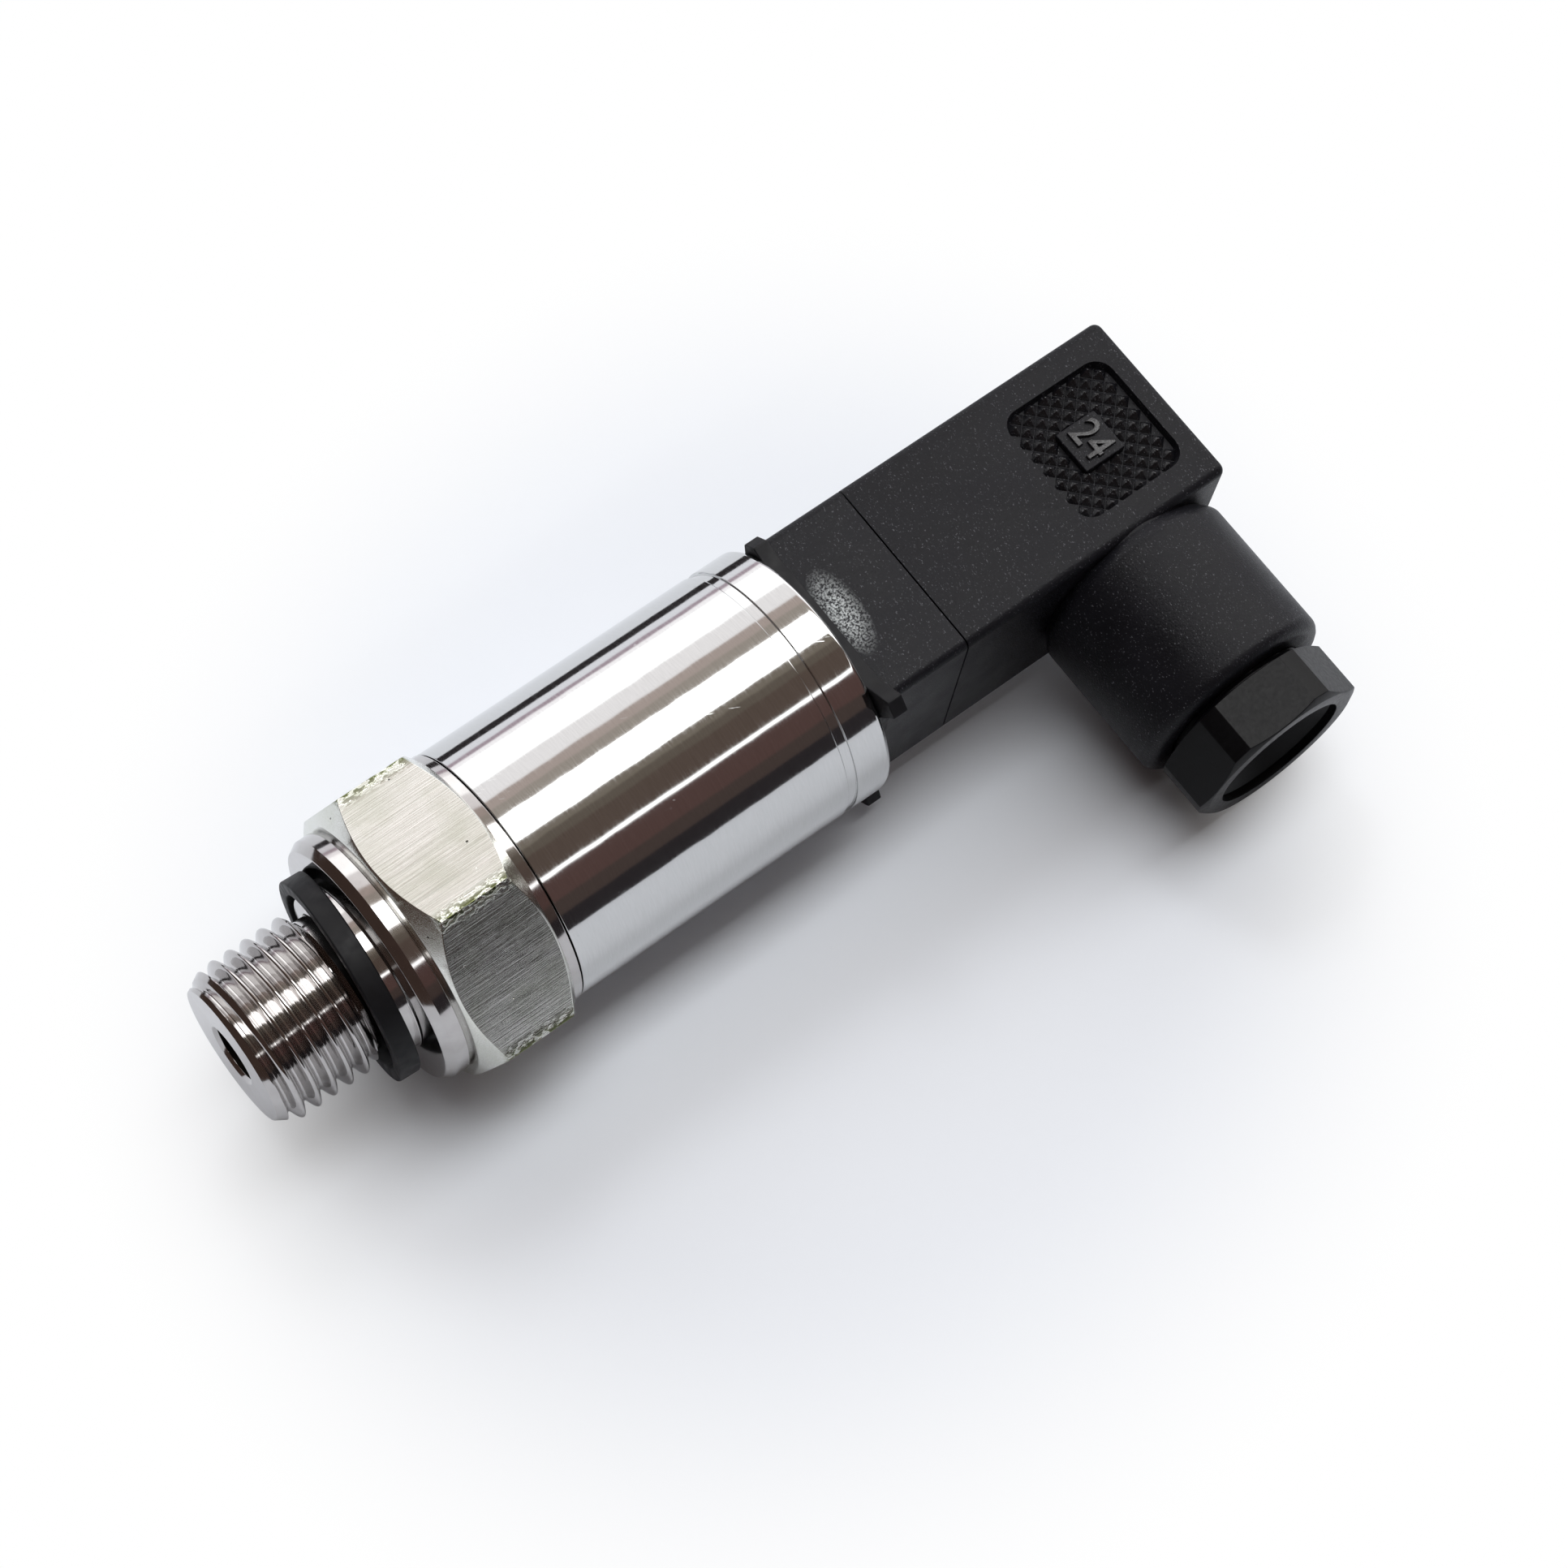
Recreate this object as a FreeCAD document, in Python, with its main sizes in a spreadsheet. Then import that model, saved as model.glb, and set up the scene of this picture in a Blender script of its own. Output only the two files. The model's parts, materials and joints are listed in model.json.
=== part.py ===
# Pressure transmitter with a square plug: a turned and milled steel body, a polished sleeve and
# a small four-pin connector, lying on its side as it comes to rest on a flat surface.
#
# Every piece is first built in the transmitter's own frame: +X runs along the body from the
# pressure port to the plug, +Z is the normal of the plug's lettered face, and the cable gland
# points along -Y. One placement then lays all of them down together.
import FreeCAD
import Part
import os
import Sketcher

doc = FreeCAD.newDocument("PressureTransmitter")
sheet = doc.addObject("Spreadsheet::Sheet", "Dim")

# name, value (mm, or degrees for an angle), what it is
sizes = [
    # process connection
    ("threadDia", 14.0, "M14 thread, major diameter"),
    ("threadLength", 8.8, "front face to the last full thread"),
    ("threadPitch", 1.5, "pitch of the thread"),
    ("threadCoreDia", 12.16, "root diameter of the thread"),
    ("threadStart", 2.3, "front face to the first full crest"),
    ("tipDia", 12.0, "flat front face"),
    ("tipTaper", 1.7, "length of the lead-in cone"),
    ("reliefDia", 11.9, "thread relief behind the thread"),
    ("runOut", 0.8, "cone from the thread down to the relief"),
    ("reliefLength", 2.1, "thread end to the neck"),
    ("neckDia", 14.4, "polished neck that carries the seal ring"),
    ("neckLength", 1.7, "length of the neck"),
    ("collarTipDia", 21.1, "front of the tapered collar"),
    ("collarDia", 22.1, "collar"),
    ("collarTaper", 0.8, "length of the collar's tapered front"),
    ("collarLength", 2.0, "collar, taper included"),
    ("collarGroove", 0.3, "width of the fine groove before the hexagon"),
    ("collarGrooveDia", 21.3, "root of that groove"),
    ("hexFlats", 24.0, "hexagon across flats"),
    ("hexLength", 9.3, "hexagon, face to face"),
    ("hexFaceDia", 23.4, "turned face at each end of the hexagon"),
    ("hexBevel", 1.6, "how far each turned bevel reaches along a corner"),
    ("hexTurn", 18.5, "corner of the hexagon against the plug's lettered face, degrees"),
    ("bandDia", 23.1, "narrow step between hexagon and sleeve"),
    ("bandLength", 0.85, "length of the step"),
    ("sleeveGap", 0.15, "open line between that step and the sleeve"),
    ("spigotLength", 4.8, "spigot inside the sleeve"),
    ("portDia", 4.8, "pressure port bore"),
    ("portLength", 16.0, "front face to the chamber floor"),
    ("portEdge", 0.3, "broken edge of the port"),
    ("chamberDia", 16.0, "chamber of the measuring cell"),
    # seal ring
    ("sealDia", 18.1, "seal ring outside"),
    ("sealBore", 15.6, "seal ring opening, loose on the neck"),
    ("sealThick", 1.5, "seal ring thickness"),
    ("sealGap", 0.85, "gap between the ring, not yet pressed on, and the collar"),
    ("sealEdge", 0.15, "broken edge of the seal ring"),
    # measuring cell
    ("cellSealThick", 1.5, "section of the cell's O-ring"),
    ("cellSealDia", 12.0, "mean diameter of that O-ring"),
    ("cellThick", 5.0, "measuring cell"),
    ("clampThick", 2.5, "threaded ring behind the cell"),
    ("clampBore", 9.0, "opening of that ring"),
    ("clampSlot", 1.6, "spanner slots of that ring"),
    ("headerDia", 6.0, "glass header on the cell"),
    ("headerThick", 0.8, "thickness of the header"),
    ("wireDia", 0.5, "header wires"),
    ("wireCircle", 2.54, "pitch circle of the wires"),
    ("wireLength", 7.8, "wires behind the cell"),
    # electronics
    ("boardThick", 1.2, "round circuit boards"),
    ("boardHole", 4.4, "opening for the header wires"),
    ("chipSide", 3.6, "chip on the signal board"),
    ("chipHeight", 1.1, "height of the chip"),
    ("stackLength", 12.8, "spacer tube between the boards"),
    ("spacerWall", 1.3, "wall of the spacer tube"),
    ("ribbonWidth", 5.0, "flat lead between the boards"),
    ("ribbonThick", 0.3, "its thickness"),
    ("ribbonOffset", 6.0, "its distance from the axis"),
    # sleeve and end ring
    ("sleeveDia", 23.0, "sleeve outside"),
    ("sleeveWall", 1.0, "sleeve wall"),
    ("sleeveLength", 26.5, "sleeve"),
    ("ringGroove", 0.9, "groove between sleeve and rim"),
    ("ringGrooveDia", 22.55, "root of that groove"),
    ("rimLength", 3.5, "rim of the end ring"),
    ("rimRound", 0.5, "rounded outer edge of the rim"),
    ("ringSpigot", 4.1, "spigot of the end ring inside the sleeve"),
    ("ringBore", 18.4, "bore of the end ring"),
    ("lipThick", 1.5, "lip that holds the pin base"),
    ("lipBore", 17.3, "opening of the lip"),
    # pin base
    ("baseThick", 4.0, "flange of the pin base"),
    ("bossDia", 13.4, "inner boss of the pin base"),
    ("baseSealThick", 1.05, "O-ring round the pin base"),
    ("baseSealWidth", 1.4, "its groove"),
    ("insertNutDia", 4.4, "brass threaded insert"),
    ("insertNutLength", 4.7, "its length"),
    ("pinWidth", 2.8, "flat contact pin"),
    ("pinThick", 0.8, "its thickness"),
    ("pinReach", 7.4, "pin length outside the base"),
    ("pinOffset", 4.0, "pin to the axis"),
    ("pinTail", 1.2, "width of the soldered tail"),
    ("pinTip", 0.3, "bevel at the pin's tip"),
    # plug
    ("plugSide", 17.0, "square section of the plug"),
    ("plugEdge", 0.8, "rounded long edges of the plug"),
    ("gasketSide", 17.5, "square gasket"),
    ("gasketThick", 1.4, "thickness of the gasket"),
    ("gasketHole", 11.8, "opening of the gasket"),
    ("earFoot", 1.1, "half width of a corner ear, along the side"),
    ("earReach", 1.5, "how far an ear stands out"),
    ("earWorn", 0.35, "the same for the ear that is worn short"),
    ("headLength", 7.7, "visible head of the contact insert"),
    ("coreSide", 13.6, "inner block of the contact insert"),
    ("coreLength", 12.8, "length of that block"),
    ("corePlay", 0.1, "play between block and housing"),
    ("coreRound", 0.8, "rounded corners of the block"),
    ("housingLength", 27.45, "plug housing"),
    ("housingRound", 1.0, "rounded rear edges of the housing"),
    ("cavityLength", 23.0, "hollow of the housing"),
    ("slitPlay", 0.15, "play round a contact pin"),
    ("slitDepth", 2.0, "front wall with the pin slits"),
    ("pocketWidth", 3.7, "pocket of a contact socket"),
    ("pocketDepth", 2.7, "radial depth of the pocket"),
    ("socketPlay", 0.05, "play round a contact socket"),
    ("socketLength", 16.0, "contact socket"),
    ("socketSlot", 7.0, "blade slot of the socket"),
    ("wireHole", 1.8, "wire hole of the socket"),
    ("wireDepth", 6.0, "depth of the wire hole"),
    ("clampScrewDia", 1.5, "terminal screw"),
    ("clampHeadDia", 2.8, "its head"),
    ("clampHead", 1.1, "height of its head"),
    ("clampPlace", 3.0, "terminal screw from the rear of the socket"),
    ("clampAccess", 3.2, "screwdriver hole over a terminal screw"),
    # recess with the gripping pattern
    ("recessStart", 14.35, "front edge of the recess from the housing's front"),
    ("recessLength", 11.4, "recess along the plug"),
    ("recessWidth", 12.0, "recess across the plug"),
    ("recessDepth", 0.75, "recess"),
    ("recessRound", 1.7, "rounded corners of the recess"),
    ("knurlPitch", 1.07, "pitch of the small pyramids"),
    ("knurlHeight", 0.5, "height of the pyramids"),
    ("knurlFloor", 0.12, "solid layer under the pyramids"),
    ("plateSide", 4.1, "small square plate in the recess"),
    ("plateAhead", 0.35, "plate forward of the recess centre"),
    # fixing screw
    ("screwDia", 3.0, "central fixing screw"),
    ("screwHeadDia", 5.5, "its head"),
    ("screwHead", 2.6, "height of the head"),
    ("screwSlot", 0.8, "width of the slot"),
    ("screwSlotDepth", 1.2, "depth of the slot"),
    ("screwPlay", 0.2, "clearance round the screw"),
    ("sinkDia", 6.6, "counterbore for the head"),
    ("sinkDepth", 3.65, "depth of the counterbore"),
    ("columnDia", 6.2, "column the screw runs through"),
    ("screwSealThick", 0.6, "seal ring under the head"),
    ("screwSealDia", 6.0, "its diameter"),
    # cable gland
    ("glandPlace", 18.2, "gland axis from the housing's front"),
    ("glandDia", 18.3, "gland cylinder"),
    ("glandFootDia", 16.6, "foot of the cylinder on the housing"),
    ("glandFoot", 1.1, "height of the flared foot"),
    ("glandReach", 22.9, "gland end from the body axis"),
    ("glandRound", 1.1, "rounded end of the cylinder"),
    ("glandBore", 13.4, "bore for the nut's shank"),
    ("channelDia", 8.4, "cable channel into the housing"),
    ("channelLength", 11.2, "end of the channel from the body axis"),
    ("grommetDia", 13.0, "rubber grommet"),
    ("grommetBore", 6.4, "cable hole of the grommet"),
    ("grommetLength", 5.8, "length of the grommet"),
    ("washerThick", 0.6, "slip washer"),
    ("washerBore", 7.8, "opening of the slip washer"),
    ("nutShankDia", 13.24, "shank of the gland nut"),
    ("nutFlats", 15.0, "gland nut across flats"),
    ("nutDia", 16.1, "gland nut across its rounded corners"),
    ("nutStart", 0.6, "open line between gland and nut"),
    ("nutLength", 5.1, "hexagonal part of the nut"),
    ("nutBevel", 1.0, "bevel of the nut's end"),
    ("nutBore", 8.8, "cable opening of the nut"),
    ("nutMouthDia", 11.2, "flared mouth of the nut"),
    ("nutMouth", 2.2, "depth of the flare"),
    ("nutTurn", 11.0, "turn of the nut's flats, degrees"),
    # fits and attitude
    ("spigotFit", 0.05, "radial clearance of parts that slip into each other"),
    ("pressFit", 0.02, "radial clearance of pressed parts"),
    ("layRoll", 11.14, "roll that brings the gland nut down to the surface, degrees"),
    ("layPitch", 1.0, "rise of the body axis towards the plug, degrees"),
]
for row, (name, value, note) in enumerate(sizes, start=1):
    sheet.set("A%d" % row, name)
    sheet.set("B%d" % row, str(value))
    sheet.set("C%d" % row, note)
    sheet.setAlias("B%d" % row, name)
doc.recompute()


def size(name):
    return float(sheet.get(name))


def add(*terms):
    """Sum of aliases and formulas as one expression."""
    return " + ".join("(%s)" % term for term in terms)


roughSize = 10.0  # sketches start with it, their dimensions then set the real size


def originPlane(body, role):
    for feature in body.Origin.OriginFeatures:
        if feature.Role == role:
            return feature
    raise ValueError("no plane " + role)


def newSketch(body, name, role="XZ_Plane", shift=None, turn=None):
    """Sketch on an origin plane. shift binds its offset to formulas, turn is a fixed rotation."""
    sketch = body.newObject("Sketcher::SketchObject", name)
    sketch.AttachmentSupport = [(originPlane(body, role), "")]
    sketch.MapMode = "FlatFace"
    if turn:
        sketch.AttachmentOffset = FreeCAD.Placement(FreeCAD.Vector(), turn)
    for axis, formula in (shift or {}).items():
        sketch.setExpression("AttachmentOffset.Base." + axis, formula)
    return sketch


def pin(sketch, element, point, x, y):
    """Dimensions one point of an element from the sketch's origin."""
    for axis, line, kind, formula in (("x", -2, "DistanceX", x), ("y", -1, "DistanceY", y)):
        if formula == "0":
            sketch.addConstraint(Sketcher.Constraint("PointOnObject", element, point, line))
        else:
            number = sketch.addConstraint(
                Sketcher.Constraint(kind, -1, 1, element, point, 1.0))
            sketch.setExpression("Constraints[%d]" % number, formula)


def polygon(sketch, corners):
    """Closed outline whose corners are given as pairs of formulas."""
    first = sketch.GeometryCount
    count = len(corners)
    start = [FreeCAD.Vector(roughSize, 0, 0)]
    for index in range(1, count):
        turn = FreeCAD.Rotation(FreeCAD.Vector(0, 0, 1), 360.0 * index / count)
        start.append(turn.multVec(start[0]))
    for index in range(count):
        after = (index + 1) % count
        sketch.addGeometry(Part.LineSegment(start[index], start[after]), False)
    for index in range(count):
        after = (index + 1) % count
        sketch.addConstraint(
            Sketcher.Constraint("Coincident", first + index, 2, first + after, 1))
    for index, (x, y) in enumerate(corners):
        pin(sketch, first + index, 1, x, y)


def circle(sketch, radius, x="0", y="0"):
    number = sketch.addGeometry(
        Part.Circle(FreeCAD.Vector(1, 1, 0), FreeCAD.Vector(0, 0, 1), roughSize), False)
    pin(sketch, number, 3, x, y)
    bound = sketch.addConstraint(Sketcher.Constraint("Radius", number, roughSize))
    sketch.setExpression("Constraints[%d]" % bound, radius)


def box(sketch, left, right, low, high):
    polygon(sketch, [(left, low), (right, low), (right, high), (left, high)])


def newBody(label):
    body = doc.addObject("PartDesign::Body", label)
    body.Label = label
    return body


def revolve(body, sketch, axis="H_Axis", cut=False):
    kind = "PartDesign::Groove" if cut else "PartDesign::Revolution"
    feature = body.newObject(kind, "Turned")
    feature.Profile = sketch
    feature.ReferenceAxis = (sketch, [axis])
    feature.Angle = 360
    return feature


def pad(body, sketch, length, symmetric=False):
    feature = body.newObject("PartDesign::Pad", "Pad")
    feature.Profile = sketch
    feature.setExpression("Length", length)
    feature.Midplane = symmetric
    return feature


def pocket(body, sketch, length, symmetric=False, backward=False):
    """Cuts away a prism and makes sure that it removed material."""
    doc.recompute()
    before = body.Shape.Volume
    feature = body.newObject("PartDesign::Pocket", "Pocket")
    feature.Profile = sketch
    feature.setExpression("Length", length)
    feature.Midplane = symmetric
    feature.Reversed = backward
    doc.recompute()
    if body.Shape.Volume > before - 1e-3:
        raise ValueError("a pocket of %s cuts nothing" % body.Label)
    return feature


def groove(body, sketch, axis="H_Axis"):
    doc.recompute()
    before = body.Shape.Volume
    feature = revolve(body, sketch, axis, cut=True)
    doc.recompute()
    if body.Shape.Volume > before - 1e-3:
        raise ValueError("a groove of %s cuts nothing" % body.Label)
    return feature


def fillet(body, radius, wanted, kind="PartDesign::Fillet"):
    """Rounds (or bevels) every edge of the body for which wanted(edge) holds."""
    doc.recompute()
    tip = body.Tip
    names = []
    for index, edge in enumerate(tip.Shape.Edges, start=1):
        if wanted(edge):
            names.append("Edge%d" % index)
    feature = body.newObject(kind, "Edges")
    feature.Base = (tip, names)
    feature.setExpression("Radius" if kind.endswith("Fillet") else "Size", radius)
    return feature


def half(name):
    return "Dim.%s / 2" % name


# Stations along the body axis, from the flat front face
xThread = "Dim.threadLength"
xNeck = add(xThread, "Dim.reliefLength")
xCollar = add(xNeck, "Dim.neckLength")
xCollarEnd = add(xCollar, "Dim.collarLength")
xHex = add(xCollarEnd, "Dim.collarGroove")
xHexEnd = add(xHex, "Dim.hexLength")
xBandEnd = add(xHexEnd, "Dim.bandLength")
xSleeve = add(xBandEnd, "Dim.sleeveGap")
xSpigotEnd = add(xBandEnd, "Dim.spigotLength")
xStack = add(xSpigotEnd, "Dim.boardThick")
xStackEnd = add(xStack, "Dim.stackLength")
xBase = add(xStackEnd, "Dim.boardThick")
xRing = add(xSleeve, "Dim.sleeveLength")
xRim = add(xRing, "Dim.ringGroove")
xRimEnd = add(xRim, "Dim.rimLength")
xLip = add(xRimEnd, "-Dim.lipThick")
xFlange = add(xLip, "-Dim.baseThick")
xHead = add(xRimEnd, "Dim.gasketThick")
xHousing = add(xHead, "Dim.headLength")
xPlugEnd = add(xHousing, "Dim.housingLength")
xGland = add(xHousing, "Dim.glandPlace")
xCoreEnd = add(xHousing, "Dim.coreLength")
xSocket = add(xHead, "Dim.slitDepth")
xSink = add(xPlugEnd, "-Dim.sinkDepth")
rSleeveIn = "Dim.sleeveDia / 2 - Dim.sleeveWall"
rSpigot = "Dim.sleeveDia / 2 - Dim.sleeveWall - Dim.spigotFit"
nodes = {}


def keep(label, item, place=None):
    """Registers a finished piece and where it belongs in the transmitter's frame."""
    item.Label = label
    nodes[label] = (item, place or FreeCAD.Placement())


# Process connection: thread spigot, neck, collar, hexagon and rear spigot, one turned and
# milled piece. The hexagon is milled first, then both of its ends are turned to a bevel, so that
# each flat ends in a curved edge.
body = newBody("process_connection")
sketch = newSketch(body, "HexOutline", "YZ_Plane", {"z": xHex})
for index in range(6):
    angle = "(90 + Dim.hexTurn + %d) * 1 deg" % (60 * index)
    radius = "Dim.hexFlats / sqrt(3)"
    if index == 0:
        hexCorners = []
    hexCorners.append(("%s * cos(%s)" % (radius, angle), "%s * sin(%s)" % (radius, angle)))
polygon(sketch, hexCorners)
pad(body, sketch, "Dim.hexLength")
rOutside = "Dim.hexFlats / sqrt(3) + 1"
rFace = half("hexFaceDia")
slope = "(Dim.hexFlats / sqrt(3) - Dim.hexFaceDia / 2) / Dim.hexBevel"
rise = "(%s + 1 - %s) / (%s)" % ("Dim.hexFlats / sqrt(3)", rFace, slope)
sketch = newSketch(body, "FrontBevel")
polygon(sketch, [
    (add(xHex, "-1"), add(rFace, "-1 * " + slope)),
    (add(xHex, rise), rOutside),
    (add(xHex, "-1"), rOutside)])
groove(body, sketch)
sketch = newSketch(body, "RearBevel")
polygon(sketch, [
    (add(xHexEnd, "1"), add(rFace, "-1 * " + slope)),
    (add(xHexEnd, "1"), rOutside),
    (add(xHexEnd, "-1 * " + rise), rOutside)])
groove(body, sketch)
sketch = newSketch(body, "TurnedOutline")
polygon(sketch, [
    ("0", "0"),
    ("0", half("tipDia")),
    ("Dim.tipTaper", half("threadDia")),
    (xThread, half("threadDia")),
    (add(xThread, "Dim.runOut"), half("reliefDia")),
    (xNeck, half("reliefDia")),
    (xNeck, half("neckDia")),
    (xCollar, half("neckDia")),
    (xCollar, half("collarTipDia")),
    (add(xCollar, "Dim.collarTaper"), half("collarDia")),
    (xCollarEnd, half("collarDia")),
    (xCollarEnd, half("collarGrooveDia")),
    (add(xHex, "0.5"), half("collarGrooveDia")),
    (add(xHexEnd, "-0.5"), half("collarGrooveDia")),
    (add(xHexEnd, "-0.5"), half("bandDia")),
    (xBandEnd, half("bandDia")),
    (xBandEnd, rSpigot),
    (xSpigotEnd, rSpigot),
    (xSpigotEnd, "0")])
revolve(body, sketch)

# Thread: a row of 60 degree V grooves, one pitch apart, with flat crests an eighth of a pitch wide.
# The first groove cuts into the lead-in cone and the last one into the run-out.
rCrest = half("threadDia")
rRoot = half("threadCoreDia")
xVee = "Dim.threadStart - Dim.threadPitch / 2"
halfTop = "Dim.threadPitch * 7 / 16"
halfRoot = "%s - (%s - %s) * tan(30 deg)" % (halfTop, rCrest, rRoot)
veeTop = rCrest + " + Dim.threadPitch / 8"
sketch = newSketch(body, "ThreadVee")
polygon(sketch, [
    ("%s - (%s)" % (xVee, halfRoot), rRoot),
    ("%s + %s" % (xVee, halfRoot), rRoot),
    ("%s + %s" % (xVee, halfTop), rCrest),
    ("%s + %s" % (xVee, halfTop), veeTop),
    ("%s - %s" % (xVee, halfTop), veeTop),
    ("%s - %s" % (xVee, halfTop), rCrest)])
vee = groove(body, sketch)
turns = "floor((Dim.threadLength - Dim.threadStart) / Dim.threadPitch) + 1"
array = body.newObject("PartDesign::LinearPattern", "ThreadGrooves")
array.Originals = [vee]
array.Direction = (sketch, ["H_Axis"])
array.setExpression("Length", "Dim.threadPitch * (%s)" % turns)
array.setExpression("Occurrences", "(%s) + 1" % turns)
body.Tip = array
doc.recompute()
sketch = newSketch(body, "Bores")
polygon(sketch, [
    ("0", "0"),
    ("0", "Dim.portDia / 2 + Dim.portEdge"),
    ("Dim.portEdge", half("portDia")),
    ("Dim.portLength", half("portDia")),
    ("Dim.portLength", half("chamberDia")),
    (xSpigotEnd, half("chamberDia")),
    (xSpigotEnd, "0")])
groove(body, sketch)
keep("process_connection", body)

# Flat seal ring, loose on the neck until it is pressed between the collar and the port's face
body = newBody("seal_ring")
sketch = newSketch(body, "Section")
rSealIn = half("sealBore")
xSealRear = add(xCollar, "-Dim.sealGap")
xSealFront = add(xSealRear, "-Dim.sealThick")
polygon(sketch, [
    (xSealFront, rSealIn),
    (xSealFront, "Dim.sealDia / 2 - Dim.sealEdge"),
    (add(xSealFront, "Dim.sealEdge"), half("sealDia")),
    (add(xSealRear, "-Dim.sealEdge"), half("sealDia")),
    (xSealRear, "Dim.sealDia / 2 - Dim.sealEdge"),
    (xSealRear, rSealIn)])
revolve(body, sketch)
keep("seal_ring", body)



def sealSection(sketch, x, radius, thick):
    """Eight-sided section of an O-ring that is squeezed in its groove."""
    corners = []
    for index in range(8):
        angle = "%s deg" % (22.5 + 45 * index)
        corners.append((
            "%s + %s / 2 * cos(%s)" % (x, thick, angle),
            "%s + %s / 2 * sin(%s)" % (radius, thick, angle)))
    polygon(sketch, corners)


# O-ring between the chamber floor and the measuring cell
body = newBody("capsule_seal")
sketch = newSketch(body, "Section")
sealSection(sketch, "Dim.portLength + Dim.cellSealThick / 2", half("cellSealDia"),
            "Dim.cellSealThick")
revolve(body, sketch)
keep("capsule_seal", body)

# Measuring cell, a steel capsule with a shallow pressure side
body = newBody("sensor_capsule")
sketch = newSketch(body, "Section")
xCell = add("Dim.portLength", "Dim.cellSealThick")
xCellEnd = add(xCell, "Dim.cellThick")
rCell = "Dim.chamberDia / 2 - Dim.spigotFit"
polygon(sketch, [
    (add(xCell, "0.4"), "0"),
    (add(xCell, "0.4"), half("wireCircle")),
    (xCell, "Dim.wireCircle / 2 + 0.4"),
    (xCell, rCell),
    (xCellEnd, rCell),
    (xCellEnd, "0")])
revolve(body, sketch)
keep("sensor_capsule", body)

# Glass header with four wires on the cell's dry side
body = newBody("capsule_header")
sketch = newSketch(body, "Disc", "YZ_Plane", {"z": xCellEnd})
circle(sketch, half("headerDia"))
pad(body, sketch, "Dim.headerThick")
sketch = newSketch(body, "Wires", "YZ_Plane", {"z": xCellEnd})
for y, z in (("1", "0"), ("-1", "0"), ("0", "1"), ("0", "-1")):
    circle(sketch, half("wireDia"),
           "0" if y == "0" else y + " * Dim.wireCircle / 2",
           "0" if z == "0" else z + " * Dim.wireCircle / 2")
pad(body, sketch, "Dim.wireLength")
keep("capsule_header", body)

# Threaded ring that clamps the cell, with two spanner slots
body = newBody("clamp_ring")
sketch = newSketch(body, "Section")
box(sketch, xCellEnd, add(xCellEnd, "Dim.clampThick"), half("clampBore"), rCell)
revolve(body, sketch)
sketch = newSketch(body, "Slots", "YZ_Plane", {"z": add(xCellEnd, "Dim.clampThick")})
box(sketch, "-Dim.chamberDia / 2", half("chamberDia"), "-Dim.clampSlot / 2", half("clampSlot"))
pocket(body, sketch, "Dim.clampThick / 2")
keep("clamp_ring", body)

# Signal board, a round board on the end of the rear spigot
rBoard = "Dim.sleeveDia / 2 - Dim.sleeveWall - 0.2"
body = newBody("signal_board")
sketch = newSketch(body, "Board", "YZ_Plane", {"z": xSpigotEnd})
circle(sketch, rBoard)
circle(sketch, half("boardHole"))
pad(body, sketch, "Dim.boardThick")
sketch = newSketch(body, "Chip", "YZ_Plane", {"z": xSpigotEnd})
box(sketch, "-Dim.chipSide / 2", half("chipSide"),
    "-Dim.ribbonOffset - Dim.chipSide / 2", "-Dim.ribbonOffset + Dim.chipSide / 2")
pad(body, sketch, "Dim.boardThick + Dim.chipHeight")
keep("signal_board", body)

# Spacer tube between the two boards
body = newBody("board_spacer")
sketch = newSketch(body, "Section")
box(sketch, xStack, xStackEnd, add(rBoard, "-Dim.spacerWall"), rBoard)
revolve(body, sketch)
keep("board_spacer", body)

# Flat lead from board to board
body = newBody("ribbon_lead")
sketch = newSketch(body, "Strip", "YZ_Plane", {"z": xStack})
box(sketch, "-Dim.ribbonWidth / 2", half("ribbonWidth"),
    "Dim.ribbonOffset", "Dim.ribbonOffset + Dim.ribbonThick")
pad(body, sketch, "Dim.stackLength")
keep("ribbon_lead", body)


def tailSlots(sketch, play):
    """Four holes for the soldered tails of the contact pins."""
    reach = "Dim.pinThick / 2 + " + play
    wide = "Dim.pinTail / 2 + " + play
    for sign in ("1", "-1"):
        middle = sign + " * Dim.pinOffset"
        box(sketch, "-1 * (%s)" % wide, wide, "%s - (%s)" % (middle, reach),
            "%s + %s" % (middle, reach))
        box(sketch, "%s - (%s)" % (middle, reach), "%s + %s" % (middle, reach),
            "-1 * (%s)" % wide, wide)


# Connector board, soldered to the pins' tails
body = newBody("connector_board")
sketch = newSketch(body, "Board", "YZ_Plane", {"z": xStackEnd})
circle(sketch, rBoard)
pad(body, sketch, "Dim.boardThick")
sketch = newSketch(body, "TailHoles", "YZ_Plane", {"z": xBase})
tailSlots(sketch, "Dim.slitPlay")
pocket(body, sketch, "Dim.boardThick")
keep("connector_board", body)

# Polished sleeve
body = newBody("housing_sleeve")
sketch = newSketch(body, "Section")
box(sketch, xSleeve, xRing, rSleeveIn, half("sleeveDia"))
revolve(body, sketch)
keep("housing_sleeve", body)

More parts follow.
